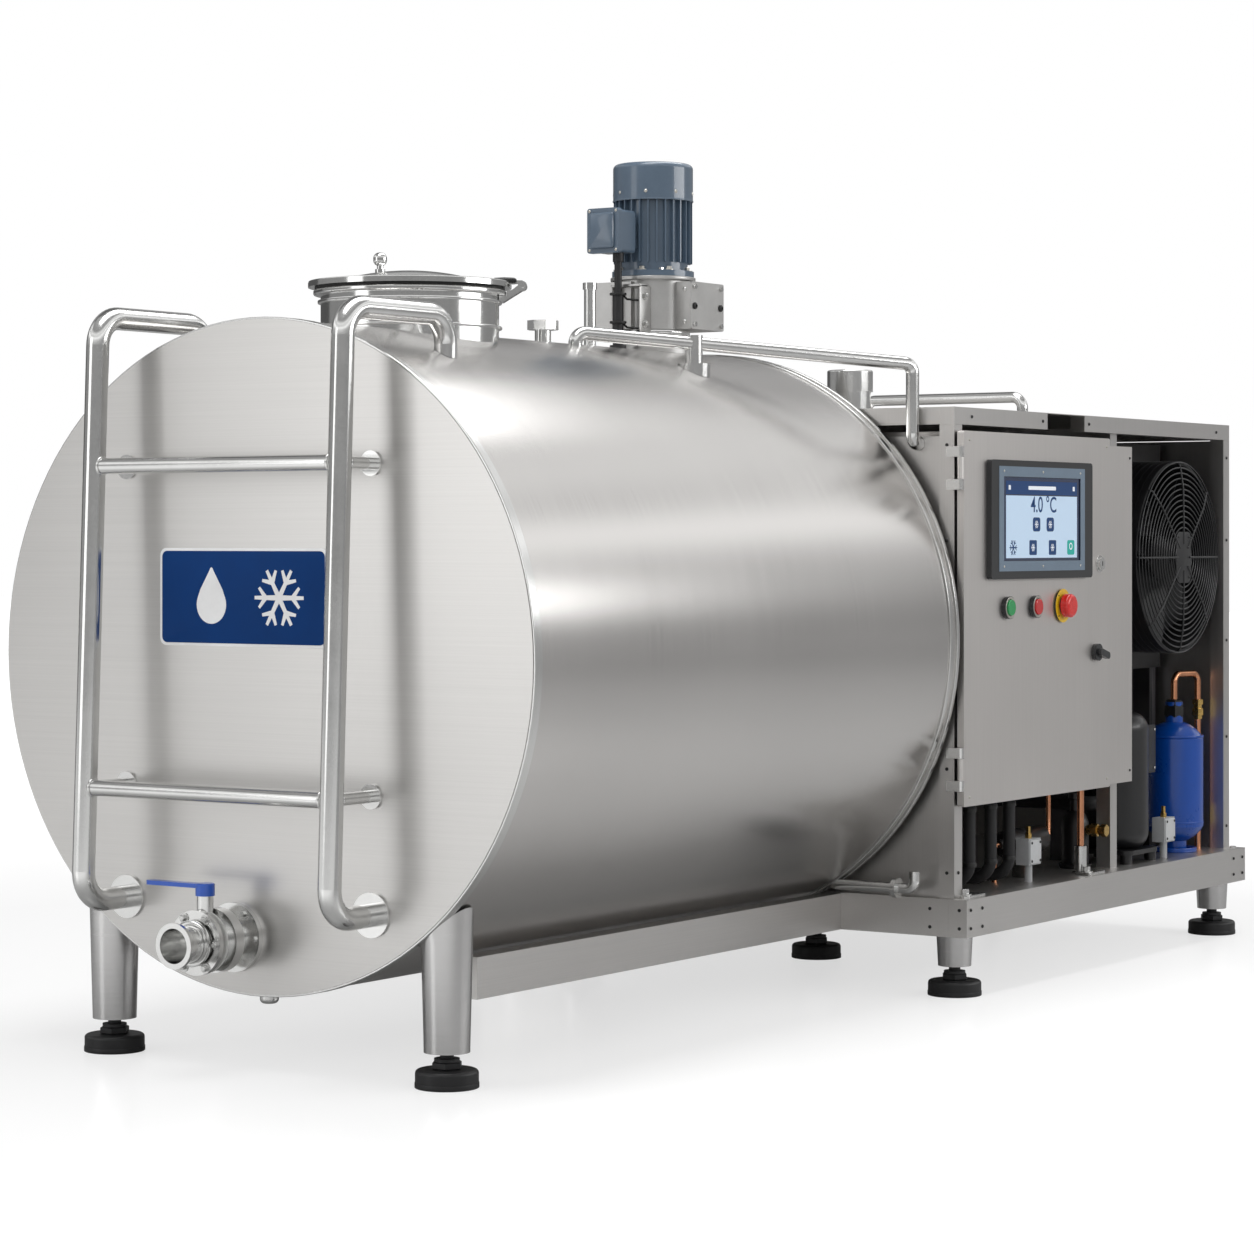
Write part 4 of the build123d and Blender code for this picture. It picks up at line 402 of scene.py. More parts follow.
def turned(name, place, axis, profile, sides=40):
    """A turned piece: a disc, extruded and resized step by step along its axis.

    The profile is a list of (distance along the axis, radius).
    """
    start, radius = profile[0]
    bpy.ops.mesh.primitive_circle_add(vertices=sides, radius=radius, fill_type="NGON",
                                      location=(0, 0, start))
    piece = bpy.context.object
    piece.name = name
    settle(piece)
    bpy.ops.object.mode_set(mode="EDIT")
    bpy.ops.mesh.select_all(action="SELECT")
    for height, wide in profile[1:]:
        bpy.ops.mesh.extrude_region_move(TRANSFORM_OT_translate={"value": (0, 0, height - start)})
        share = wide / radius
        bpy.ops.transform.resize(value=(share, share, 1), center_override=(0, 0, height))
        start, radius = height, wide
    bpy.ops.mesh.select_all(action="SELECT")
    bpy.ops.mesh.remove_doubles(threshold=1e-6)
    bpy.ops.mesh.normals_make_consistent(inside=False)
    bpy.ops.object.mode_set(mode="OBJECT")
    stood(piece, place, axis)
    pick(piece)
    bpy.ops.object.shade_smooth_by_angle(angle=radians(35))
    return piece


def repeated(name, model, places):
    """Copies of a model, each with its own mesh, moved from the origin to each place."""
    copies = []
    for place in places:
        copy = model.copy()
        copy.data = model.data.copy()
        bpy.context.scene.collection.objects.link(copy)
        copy.data.transform(place if isinstance(place, Matrix) else Matrix.Translation(place))
        copies.append(copy)
    bpy.data.objects.remove(model)
    return joined(name, copies)


front_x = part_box("end_plates")[0].x
SIGN_Y = (-0.188, 0.262)
SIGN_Z = (0.880, 1.085)
SIGN_CORNER = 0.016
sign_blue = coated("sign_blue", (0.000, 0.034, 0.155), 0.45, mottle=30, Specular_IOR_Level=0.12)
sign_white = coated("sign_white", (0.80, 0.80, 0.80), 0.35, coat=0.3, mottle=30)
sign_back = plate("sign_back", (front_x - 0.0016, SIGN_Y[0], SIGN_Z[0]),
                  (front_x - 0.0001, SIGN_Y[1], SIGN_Z[1]), 0, SIGN_CORNER, 0.0004)
finished(sign_back, sign_white, "tank")
SIGN_BORDER = 0.006
sign_field = plate("sign_field",
                   (front_x - 0.0022, SIGN_Y[0] + SIGN_BORDER, SIGN_Z[0] + SIGN_BORDER),
                   (front_x - 0.0012, SIGN_Y[1] - SIGN_BORDER, SIGN_Z[1] - SIGN_BORDER),
                   0, SIGN_CORNER - SIGN_BORDER / 2, 0.0003)
finished(sign_field, sign_blue, "tank")


def faced(piece, right, up, origin):
    """Stand a flat piece in a plane: its X runs right, its Y up, and its Z to the viewer."""
    right, up = Vector(right), Vector(up)
    turn = Matrix((right, up, right.cross(up))).transposed().to_4x4()
    piece.matrix_world = Matrix.Translation(Vector(origin)) @ turn
    return settle(piece)


def thickened(piece, thickness):
    """Extrude a flat piece by its thickness, towards +Z."""
    pick(piece)
    bpy.ops.object.mode_set(mode="EDIT")
    bpy.ops.mesh.select_all(action="SELECT")
    bpy.ops.mesh.extrude_region_move(TRANSFORM_OT_translate={"value": (0, 0, thickness)})
    bpy.ops.mesh.select_all(action="SELECT")
    bpy.ops.mesh.normals_make_consistent(inside=False)
    bpy.ops.object.mode_set(mode="OBJECT")
    return piece


def points_near(piece, test):
    """In edit mode, select only the points that pass a test."""
    bpy.ops.mesh.select_mode(type="VERT")
    bpy.ops.mesh.select_all(action="DESELECT")
    bpy.ops.object.mode_set(mode="OBJECT")
    for vertex in piece.data.vertices:
        vertex.select = test(vertex.co)
    bpy.ops.object.mode_set(mode="EDIT")


def bar(length, width, thickness):
    """A flat bar that runs from the origin along +X and narrows towards its tip."""
    bpy.ops.mesh.primitive_plane_add(size=1, location=(length / 2, 0, 0))
    piece = bpy.context.object
    piece.scale = (length, width, 1)
    settle(piece)
    bpy.ops.object.mode_set(mode="EDIT")
    points_near(piece, lambda point: point.x > length / 2)
    bpy.ops.transform.resize(value=(1, 0.62, 1), center_override=(length, 0, 0))
    bpy.ops.object.mode_set(mode="OBJECT")
    return thickened(piece, thickness)


def crystal(name, centre, size, right, up, thickness):
    """An ice crystal: six arms, each with a pair of side branches."""
    right, up = Vector(right), Vector(up)
    out = right.cross(up)
    half = size / 2
    arms = []
    for turn in range(6):
        heading = turn * pi / 3
        ahead = right * cos(heading) + up * sin(heading)
        arms.append(faced(bar(half, size * 0.09, thickness), ahead, out.cross(ahead), centre))
        fork = Vector(centre) + ahead * half * 0.55
        for lean in (radians(50), radians(-50)):
            branch = right * cos(heading + lean) + up * sin(heading + lean)
            branch_bar = bar(half * 0.42, size * 0.08, thickness * 0.8)
            arms.append(faced(branch_bar, branch, out.cross(branch), fork))
    arms.append(turned("hub", centre, out, ((0, size * 0.085), (thickness * 1.2, size * 0.085)), 6))
    return joined(name, arms)


# The sign faces -X, so its own right-hand side is towards -Y
SIGN_RIGHT = (0, -1, 0)
DROP_Y, DROP_RADIUS = 0.120, 0.040
CRYSTAL_Y, CRYSTAL_SIZE = -0.062, 0.130
PICTURE_THICKNESS = 0.0006
picture_x = front_x - 0.0021
sign_middle_z = sum(SIGN_Z) / 2
bpy.ops.mesh.primitive_circle_add(vertices=32, radius=DROP_RADIUS, fill_type="NGON", location=(0, -0.016, 0))
drop = bpy.context.object
drop.name = "sign_drop"
settle(drop)
bpy.ops.object.mode_set(mode="EDIT")
points_near(drop, lambda point: point.y > 0)
bpy.ops.transform.resize(value=(1, 2.6, 1), center_override=(0, 0, 0))
for level, share in ((0.010, 0.90), (0.025, 0.79), (0.040, 0.76), (0.050, 0.72)):
    points_near(drop, lambda point: point.y > level)
    bpy.ops.transform.resize(value=(share, 1, 1), center_override=(0, 0, 0))
bpy.ops.object.mode_set(mode="OBJECT")
faced(thickened(drop, PICTURE_THICKNESS), SIGN_RIGHT, UPWARD, (picture_x, DROP_Y, sign_middle_z))
finished(drop, sign_white, "tank")
ice = crystal("sign_crystal", (picture_x, CRYSTAL_Y, sign_middle_z), CRYSTAL_SIZE, SIGN_RIGHT, UPWARD,
              PICTURE_THICKNESS)
finished(ice, sign_white, "tank")

# ------------------------------------------------------------------ insulation
# Rigid cream foam, poured in between the inner vessel and the outer jacket, where it
# sets and isn't finished.
cover("insulation", coated("foam_fill", (0.66, 0.58, 0.36), 0.85, mottle=300, depth=0.002))

# ------------------------------------------------------------------ fasteners
# Stainless hex bolts with washers hold the flanges, and socket screws the covers. Small
# dark pan-head screws hold the sheets to the bay's frame and the base's corners.
CONTROL_SIDE = (0, -1, 0)
LADDER_END = (-1, 0, 0)
BAY_END = (1, 0, 0)


def aimed(point, axis, turn=0.0):
    """The matrix that stands a model on a point, along an axis."""
    lean = Vector((0, 0, 1)).rotation_difference(Vector(axis)).to_matrix().to_4x4()
    return Matrix.Translation(Vector(point)) @ lean @ Matrix.Rotation(turn, 4, "Z")


def around(centre, axis, radius, count, start=0.0):
    """Matrices of places spaced on a circle round an axis."""
    lean = Vector((0, 0, 1)).rotation_difference(Vector(axis)).to_matrix().to_4x4()
    spots = []
    for step in range(count):
        angle = start + 2 * pi * step / count
        spot = Matrix.Translation((radius * cos(angle), radius * sin(angle), 0))
        spots.append(Matrix.Translation(Vector(centre)) @ lean @ spot)
    return spots


def hex_bolt(across):
    """A hex head on its washer, at the origin, standing along +Z."""
    washer = turned("washer", (0, 0, 0), UPWARD, ((0, across * 0.95), (across * 0.15, across * 0.95)), 20)
    head = turned("head", (0, 0, across * 0.15), UPWARD,
                  ((0, across * 0.56), (across * 0.55, across * 0.58), (across * 0.66, across * 0.46)), 6)
    return joined("hex_bolt", [washer, head])


def pan_screw(radius):
    """A low domed screw head with a socket, at the origin, standing along +Z."""
    return turned("pan_screw", (0, 0, 0), UPWARD,
                  ((0, radius), (radius * 0.35, radius), (radius * 0.62, radius * 0.72),
                   (radius * 0.70, radius * 0.42), (radius * 0.35, radius * 0.38)), 16)


def fastened(name, model, places, material, body="tank"):
    """Copies of a fastener, painted and set on a body."""
    return finished(repeated(name, model, places), material, body)


bolt_steel = polished("bolt_steel", (0.60, 0.60, 0.59), 0.24)
screw_steel = polished("screw_steel", (0.62, 0.60, 0.55), 0.28)
screw_black = coated("screw_black", (0.010, 0.010, 0.010), 0.40, mottle=300)
bay_low, bay_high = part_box("bay_frame")
base_low, base_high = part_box("base_frame")
tray_low, tray_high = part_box("base_tray")
POST_MIDDLE = 0.020
BAY_SCREW_HEIGHTS = (0.30, 0.55, 0.82, 1.10, 1.33)
TOP_RAIL_SCREWS = (bay_low.x + 0.09, 0.64, 0.905, bay_high.x - 0.09)
RIM_SCREW_INSET = 0.022
places = [aimed((x, bay_low.y, z), CONTROL_SIDE) for z in BAY_SCREW_HEIGHTS
          for x in (bay_low.x + POST_MIDDLE, bay_high.x - POST_MIDDLE)]
places += [aimed((bay_low.x, bay_low.y + POST_MIDDLE, z), LADDER_END) for z in BAY_SCREW_HEIGHTS]
places += [aimed((bay_high.x, y, z), BAY_END) for z in BAY_SCREW_HEIGHTS
           for y in (bay_low.y + POST_MIDDLE, bay_high.y - POST_MIDDLE)]
places += [aimed((x, bay_low.y, bay_high.z - POST_MIDDLE), CONTROL_SIDE) for x in TOP_RAIL_SCREWS]
for z in (base_low.z + RIM_SCREW_INSET, base_high.z - RIM_SCREW_INSET):
    for inset in (0.02, 0.08):
        places += [aimed((x, base_low.y, z), CONTROL_SIDE)
                   for x in (tray_low.x + inset, base_high.x - inset)]
    for inset in (0.02, 0.10):
        places.append(aimed((tray_low.x, base_low.y + inset, z), LADDER_END))
fastened("sheet_screws", pan_screw(0.0042), places, screw_black)

# Two clamp plates hold the tray's front edge down, each with a hex bolt
TRAY_Z = tray_high.z
CLAMP_X = (0.236, 0.905)
CLAMP_Y = (-0.706, -0.660)
CLAMP_HALF = 0.045
CLAMP_BOLT = (-0.022, -0.684)
clamp_top = TRAY_Z + 0.007
clamp_plates = [plate("clamp", (x - CLAMP_HALF, CLAMP_Y[0], TRAY_Z), (x + CLAMP_HALF, CLAMP_Y[1], clamp_top),
                      2, 0.006, 0.001) for x in CLAMP_X]
finished(joined("tray_clamps", clamp_plates), bolt_steel, "tank")
places = [aimed((x + CLAMP_BOLT[0], CLAMP_BOLT[1], clamp_top), UPWARD, 0.3) for x in CLAMP_X]
fastened("tray_bolts", hex_bolt(0.017), places, bolt_steel)


# ------------------------------------------------------------------ manhole
# A domed lid of polished stainless on a black ring seal, stiffened by a ring round its rim.
# The neck has a rolled bead, a weld at its foot and a lug. Black sleeves cover the hinge.
def hoop(name, place, axis, inner, outer, thickness, sides=72):
    """A flat ring: a circle widened to its outer edge, then given its thickness."""
    bpy.ops.mesh.primitive_circle_add(vertices=sides, radius=inner, fill_type="NOTHING")
    piece = bpy.context.object
    piece.name = name
    bpy.ops.object.mode_set(mode="EDIT")
    bpy.ops.mesh.select_all(action="SELECT")
    bpy.ops.mesh.extrude_edges_move()
    bpy.ops.transform.resize(value=(outer / inner, outer / inner, 1), center_override=(0, 0, 0))
    bpy.ops.object.mode_set(mode="OBJECT")
    stood(thickened(piece, thickness), place, axis)
    return soften(piece, min(thickness, outer - inner) * 0.18, 2, 30)


cover("manhole_gasket", coated("seal_black", (0.010, 0.010, 0.010), 0.55, mottle=200))
cover("manhole_lid", polished("lid_polish", (0.74, 0.74, 0.73), 0.10))
cover("lid_hinge_arm", tube_polish)
for node in ("manhole_neck", "lid_knob"):
    cover(node, neck_polish)
neck_low, neck_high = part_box("manhole_neck")
lid_low, lid_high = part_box("manhole_lid")
neck_x = (neck_low.x + neck_high.x) / 2
WELD_Z = 1.5645
finished(hoop("lid_rim_ring", (neck_x, 0, lid_low.z + 0.007), UPWARD, 0.2105, 0.2225, 0.0065),
         neck_polish, "lid")
finished(hoop("neck_rim_bead", (neck_x, 0, neck_high.z - 0.030), UPWARD, 0.1955, 0.2025, 0.007),
         neck_polish, "tank")
finished(hoop("neck_foot_weld", (neck_x, 0, WELD_Z), UPWARD, 0.1950, 0.2030, 0.006), tube_polish, "tank")

HINGE_HEADING = radians(-56)
GRIP_REACH = 0.236
GRIP_LENGTH = 0.050
GRIP_DROP = 0.0215
grips = []
for heading in (HINGE_HEADING + 0.10, HINGE_HEADING - 0.10):
    ahead = Vector((cos(heading), sin(heading), 0))
    start = Vector((neck_x, 0, lid_high.z - GRIP_DROP)) + ahead * (GRIP_REACH - GRIP_LENGTH)
    profile = ((0, 0.004), (0.002, 0.0058), (GRIP_LENGTH * 0.45, 0.0068), (GRIP_LENGTH * 0.9, 0.0058),
               (GRIP_LENGTH, 0.003))
    grips.append(turned("grip", start, ahead, profile, 20))
finished(joined("lid_grips", grips), screw_black, "lid")
LUG_HEADING = radians(-150)
NECK_RADIUS = 0.196
lug_out = Vector((cos(LUG_HEADING), sin(LUG_HEADING), 0))
lug_foot = Vector((neck_x, 0, neck_high.z - 0.052)) + lug_out * NECK_RADIUS
LUG_PROFILE = ((0, 0.014), (0.010, 0.014), (0.012, 0.010), (0.020, 0.010), (0.022, 0.007))
finished(turned("neck_lug", lug_foot, lug_out, LUG_PROFILE, 24), neck_polish, "tank")


# ------------------------------------------------------------------ ladder welds
# The rungs are welded to the tubular stainless rails by hand, and so are the stand-offs.
# The welds are left as they are laid, with a rippled bead.
def bead(name, centre, axis, radius, thickness, lumps=46):
    """A rippled weld round a tube: a torus with every other section swollen."""
    sides = 8
    bpy.ops.mesh.primitive_torus_add(major_radius=radius, minor_radius=thickness,
                                     major_segments=lumps, minor_segments=sides)
    piece = bpy.context.object
    piece.name = name
    bpy.ops.object.mode_set(mode="EDIT")
    bpy.ops.mesh.select_all(action="DESELECT")
    bpy.ops.object.mode_set(mode="OBJECT")
    for index, vertex in enumerate(piece.data.vertices):
        vertex.select = (index // sides) % 2 == 0
    bpy.ops.object.mode_set(mode="EDIT")
    bpy.ops.transform.resize(value=(1.008, 1.008, 1.12), center_override=(0, 0, 0))
    bpy.ops.object.mode_set(mode="OBJECT")
    stood(piece, centre, axis)
    pick(piece)
    bpy.ops.object.shade_smooth()
    return piece


RAIL_Y = (0.354, -0.302)
RAIL_RADIUS = 0.0225
RAIL_FOOT_Z, RAIL_TOP_Z = 0.343, 1.571
RAIL_FOOT_REACH, RAIL_TOP_REACH = 0.140, 0.092
RUNG_HEIGHTS = (0.583, 1.257)


def rail_x(z):
    """The middle of a rail at a height; the rails lean towards the tank."""
    rise = (z - RAIL_FOOT_Z) / (RAIL_TOP_Z - RAIL_FOOT_Z)
    return front_x - RAIL_FOOT_REACH + rise * (RAIL_FOOT_REACH - RAIL_TOP_REACH)


welds = []
for y in RAIL_Y:
    inward = 1 if y < 0 else -1
    for z in RUNG_HEIGHTS:
        welds.append(bead("weld", (rail_x(z), y + inward * RAIL_RADIUS, z), (0, 1, 0), 0.0178, 0.0026))
        welds.append(bead("weld", (rail_x(z) + RAIL_RADIUS, y, z), BAY_END, 0.0140, 0.0024))
finished(joined("ladder_welds", welds), tube_polish, "tank")

# ------------------------------------------------------------------ butterfly valve
# Six hex bolts clamp the turned valve body between its flanges over a white seal. The
# handle on its stem is glass-filled nylon, moulded bright blue and held by a screw.
cover("valve_lever", coated("lever_moulding", (0.006, 0.085, 0.50), 0.28, coat=0.5, mottle=120))
valve_low, valve_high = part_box("valve_body")
OUTLET_Y, OUTLET_Z = 0.055, 0.276
places = around((valve_high.x - 0.064, OUTLET_Y, OUTLET_Z), LADDER_END, 0.0575, 6, pi / 6)
fastened("valve_bolts", hex_bolt(0.012), places, bolt_steel)
seal_white = coated("seal_white", (0.62, 0.62, 0.60), 0.5, mottle=200)
finished(hoop("valve_seal", (valve_high.x - 0.0345, OUTLET_Y, OUTLET_Z), LADDER_END, 0.0550, 0.0650, 0.005),
         seal_white, "tank")
finished(hoop("mouth_step", (valve_low.x + 0.0095, OUTLET_Y, OUTLET_Z), BAY_END, 0.0378, 0.0425, 0.006),
         neck_polish, "tank")
finished(hoop("body_step", (valve_high.x - 0.080, OUTLET_Y, OUTLET_Z), BAY_END, 0.0378, 0.0480, 0.010),
         neck_polish, "tank")
lever_low, lever_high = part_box("valve_lever")
finished(turned("lever_screw", ((lever_low.x + lever_high.x) / 2, OUTLET_Y, lever_high.z - 0.001), UPWARD,
                ((0, 0.0062), (0.0, 0.0062), (0.0009, 0.0050)), 6), bolt_steel, "valve_stem")

# ------------------------------------------------------------------ levelling feet
# Black moulded pads on threaded spindles, screwed up into the legs. A hex lock nut sits
# on each pad, and a step is moulded round the pad's foot.
foot_moulding = coated("foot_moulding", (0.012, 0.012, 0.013), 0.42, mottle=140)
cover("levelling_feet", foot_moulding)
FRONT_FOOT = (0.060, 0.446)
CORNER_INSET = 0.070
MIDDLE_FEET = (0.518, 1.512)
RAIL_FOOT = (0.068, 0.347)
foot_spots = [Vector((front_x + FRONT_FOOT[0], side * FRONT_FOOT[1], 0)) for side in (1, -1)]
foot_spots += [Vector((x, side * (tray_high.y - CORNER_INSET), 0)) for side in (1, -1)
               for x in (tray_low.x + CORNER_INSET, tray_high.x - CORNER_INSET)]
foot_spots += [Vector((tray_low.x + reach, 0, 0)) for reach in MIDDLE_FEET]
foot_spots.append(Vector((*RAIL_FOOT, 0)))
nut = turned("nut", (0, 0, 0.0375), UPWARD,
             ((0, 0.030), (0.002, 0.0325), (0.013, 0.0325), (0.015, 0.029)), 6)
fastened("foot_nuts", nut, foot_spots, foot_moulding)
skirt = hoop("skirt", (0, 0, 0.0005), UPWARD, 0.0630, 0.0655, 0.010)
fastened("foot_skirts", skirt, foot_spots, foot_moulding)

# ------------------------------------------------------------------ agitator motor
# A finned cast motor in blue-grey enamel with a pressed fan cowl, held by small screws over
# a rolled lip. The terminal box has a screwed lid, and a black cable runs from its gland.
motor_enamel = coated("motor_enamel", (0.085, 0.125, 0.175), 0.30, coat=0.6, mottle=90)
for node in ("motor_body", "motor_cowl", "terminal_box"):
    cover(node, motor_enamel)
cover("motor_cable", coated("cable_black", (0.013, 0.013, 0.014), 0.45, mottle=220))
cowl_low, cowl_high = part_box("motor_cowl")
motor_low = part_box("motor_body")[0]
motor_x = (cowl_low.x + cowl_high.x) / 2
cowl_radius = (cowl_high.x - cowl_low.x) / 2
places = []
for step in range(8):
    angle = radians(22.5 + 45 * step)
    out = Vector((cos(angle), sin(angle), 0))
    places.append(aimed(Vector((motor_x, 0, cowl_low.z + 0.020)) + out * (cowl_radius - 0.0008), out))
fastened("cowl_screws", pan_screw(0.0042), places, screw_steel)
finished(hoop("cowl_lip", (motor_x, 0, cowl_low.z + 0.0003), UPWARD,
              cowl_radius - 0.003, cowl_radius + 0.0012, 0.004), motor_enamel, "tank")
places = around((motor_x, 0, motor_low.z + 0.014), UPWARD, 0.0870, 8, 0.26)
fastened("flange_bolts", hex_bolt(0.012), places, screw_steel)

term_low, term_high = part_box("terminal_box")
LID_MARGIN = 0.011
SCREW_MARGIN = 0.007
lid_field = plate("terminal_lid_field",
                  (term_low.x - 0.009, term_low.y + LID_MARGIN, term_low.z + LID_MARGIN),
                  (term_low.x + 0.001, term_high.y - LID_MARGIN, term_high.z - LID_MARGIN), 0, 0.006, 0.0060)
finished(lid_field, motor_enamel, "tank")
places = [aimed((term_low.x, y, z), LADDER_END)
          for y in (term_low.y + SCREW_MARGIN, term_high.y - SCREW_MARGIN)
          for z in (term_low.z + SCREW_MARGIN, term_high.z - SCREW_MARGIN)]
places += [aimed((-0.222, term_low.y + 0.0125, z), CONTROL_SIDE)
           for z in (term_low.z + 0.024, term_high.z - 0.024)]
fastened("terminal_screws", pan_screw(0.0036), places, screw_steel)
saddle = plate("terminal_saddle", (-0.236, term_low.y + 0.0122, term_low.z + 0.016),
               (-0.205, term_low.y + 0.0200, term_high.z - 0.016), 1, 0.003, 0.0015)
finished(saddle, motor_enamel, "tank")

# ------------------------------------------------------------------ gearbox
# Blasted cast stainless: a round housing with a side cover on four socket screws and two
# larger plugs, bolted to the shell by its foot ring. The gears and bearings are steel.
cast = Finish("gearbox_cast", (0.52, 0.515, 0.505), rough=0.36, metal=1.0)
pits = cast.noise((420, 420, 420), detail=4.0)
stain = cast.noise((16, 16, 16), detail=3.0)
cast.shade(pits * 0.4 + stain * 0.6, 0.72, 1.20)
cast.put("Roughness", 0.28 + 0.20 * pits)
cast.bump(pits, 0.22, 0.0007)
cover("gearbox_housing", cast.material)
gear_steel = polished("gear_steel", (0.42, 0.42, 0.43), 0.30)
for node in ("bearings", "countershaft", "motor_rotor"):
    cover(node, gear_steel)
gear_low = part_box("gearbox_housing")[0]
COVER_X = (-0.1415, 0.0059)
COVER_Z = (1.612, 1.727)
COVER_SCREW = 0.011
PLUG_Z = 1.668
places = [aimed((x, gear_low.y, z), CONTROL_SIDE)
          for x in (COVER_X[0] + COVER_SCREW, COVER_X[1] - COVER_SCREW)
          for z in (COVER_Z[0] + COVER_SCREW, COVER_Z[1] - COVER_SCREW)]
fastened("cover_screws", pan_screw(0.0055), places, bolt_steel)
places = [aimed((x, gear_low.y, PLUG_Z), CONTROL_SIDE) for x in (COVER_X[0] + 0.014, COVER_X[1] - 0.016)]
fastened("cover_plugs", pan_screw(0.0085), places, screw_black)
places = [aimed((COVER_X[0], y, z), LADDER_END) for y in (-0.108, -0.060) for z in (1.630, 1.708)]
fastened("side_screws", pan_screw(0.0050), places, bolt_steel)
finished(hoop("gear_flange", (motor_x, 0, motor_low.z - 0.0095), UPWARD, 0.0860, 0.1040, 0.009),
         cast.material, "tank")
finished(hoop("pedestal_band", (motor_x, 0, gear_low.z + 0.046), UPWARD, 0.0822, 0.0900, 0.010),
         neck_polish, "tank")
places = around((motor_x, 0, 1.5695), UPWARD, 0.0890, 8, 0.2)
fastened("pedestal_bolts", hex_bolt(0.010), places, bolt_steel)


def wire(name, points, radius, closed=False, sides=3):
    """A round wire bent through a few points."""
    curve = bpy.data.curves.new(name, "CURVE")
    curve.dimensions = "3D"
    curve.bevel_depth = radius
    curve.bevel_resolution = sides
    curve.use_fill_caps = True
    line = curve.splines.new("POLY")
    line.points.add(len(points) - 1)
    for target, point in zip(line.points, points):
        target.co = (*point, 1)
    line.use_cyclic_u = closed
    piece = bpy.data.objects.new(name, curve)
    bpy.context.scene.collection.objects.link(piece)
    pick(piece)
    bpy.ops.object.convert(target="MESH")
    piece = bpy.context.object
    pick(piece)
    bpy.ops.object.shade_smooth_by_angle(angle=radians(50))
    return piece


# A bracket stands on the left of the housing, and black ties hold the cable to it
CABLE_X, CABLE_Y = -0.264, 0.004
TIE_HEIGHTS = (1.622, 1.690)
BRACKET_Y = (-0.046, 0.038)
bracket_x = gear_low.x + 0.004
brackets = [plate("bracket", (bracket_x - 0.034, y, 1.600), (bracket_x + 0.014, y + 0.004, 1.716),
                  1, 0.010, 0.0008) for y in (BRACKET_Y[0], BRACKET_Y[1] - 0.004)]
brackets.append(plate("bracket", (bracket_x - 0.036, BRACKET_Y[0], 1.712),
                      (bracket_x + 0.004, BRACKET_Y[1], 1.718), 2, 0.004, 0.0008))
finished(joined("cable_bracket", brackets), cast.material, "tank")
ties = [hoop("tie", (CABLE_X, CABLE_Y, z), UPWARD, 0.0090, 0.0205, 0.006, 28) for z in TIE_HEIGHTS]
ties += [wire("tie", [(CABLE_X + 0.019, CABLE_Y, z + 0.003), (bracket_x - 0.030, CABLE_Y - 0.010, z - 0.008),
                      (bracket_x - 0.020, BRACKET_Y[0] + 0.002, z - 0.012)], 0.0028) for z in TIE_HEIGHTS]
finished(joined("cable_ties", ties), screw_black, "tank")
places = [aimed((bracket_x - 0.014, BRACKET_Y[0], z), CONTROL_SIDE) for z in TIE_HEIGHTS]
fastened("bracket_bolts", hex_bolt(0.011), places, bolt_steel)

# ------------------------------------------------------------------ control cabinet
# A folded stainless box with a full-height door, brushed upright, with small rivets in the
# door's corners. The side door has two dark screws, and a painted plate stands inside.
cabinet_brushed = brushed("cabinet_brushed", (480, 480, 3), colour=(0.68, 0.655, 0.635), rough=0.38)
for node in ("control_box", "control_door", "side_door"):
    cover(node, cabinet_brushed)
cover("component_plate", coated("component_grey", (0.40, 0.41, 0.42), 0.45))
door_low, door_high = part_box("control_door")
door_y = door_low.y + 0.004
places = [aimed((x, door_y - 0.0002, z), CONTROL_SIDE) for x in (door_low.x + 0.045, door_high.x - 0.020)
          for z in (door_low.z + 0.022, door_high.z - 0.022)]
fastened("door_rivets", pan_screw(0.0030), places, screw_steel, "control_door")
leaf_low, leaf_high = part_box("side_door")
LEAF_SCREW = 0.030
places = [aimed((leaf_high.x - 0.014, leaf_low.y + 0.0049, z), CONTROL_SIDE)
          for z in (leaf_low.z + LEAF_SCREW, leaf_high.z - LEAF_SCREW)]
fastened("side_door_screws", pan_screw(0.0034), places, screw_black, "side_door")

# ------------------------------------------------------------------ display
# A touch panel in a black surround, behind a blue-grey frame: a lit field with a dark title
# bar, the milk's temperature, two round-cornered keys and a row of four pictures.
bezel_black = coated("bezel_black", (0.014, 0.015, 0.017), 0.30, coat=0.3, mottle=160)
cover("hmi_bezel", bezel_black)
cover("hmi_screen", coated("display_edge", (0.006, 0.022, 0.080), 0.16, coat=0.6, mottle=30))
frame_grey = coated("display_frame", (0.16, 0.22, 0.29), 0.34, coat=0.3, mottle=80)


def lit(name, colour, glow):
    """A lit area of the display."""
    light = Finish(name, colour, rough=0.20)
    light.put("Emission Color", colour)
    light.put("Emission Strength", glow)
    scan = light.noise((900, 900, 900), detail=0.0)
    light.shade(scan, 0.97, 1.03)
    light.put("Roughness", 0.17 + 0.06 * scan)
    return light.material


display_pale = lit("display_pale", (0.52, 0.66, 0.82), 0.26)
display_navy = lit("display_navy", (0.006, 0.045, 0.160), 0.15)
display_white = lit("display_white", (0.80, 0.84, 0.90), 0.25)
display_teal = lit("display_teal", (0.020, 0.38, 0.32), 0.20)


def framing(name, low, high, border, y, thickness):
    """A flat frame that faces -Y: a sheet inset by its border, with the middle taken out."""
    middle = ((low[0] + high[0]) / 2, (low[1] + high[1]) / 2)
    bpy.ops.mesh.primitive_plane_add(size=1)
    piece = bpy.context.object
    piece.name = name
    piece.scale = (high[0] - low[0], high[1] - low[1], 1)
    settle(piece)
    bpy.ops.object.mode_set(mode="EDIT")
    bpy.ops.mesh.select_all(action="SELECT")
    bpy.ops.mesh.inset(thickness=border, depth=0)
    bpy.ops.mesh.delete(type="FACE")
    bpy.ops.object.mode_set(mode="OBJECT")
    return faced(thickened(piece, thickness), VIEW_RIGHT, UPWARD, (middle[0], y, middle[1]))


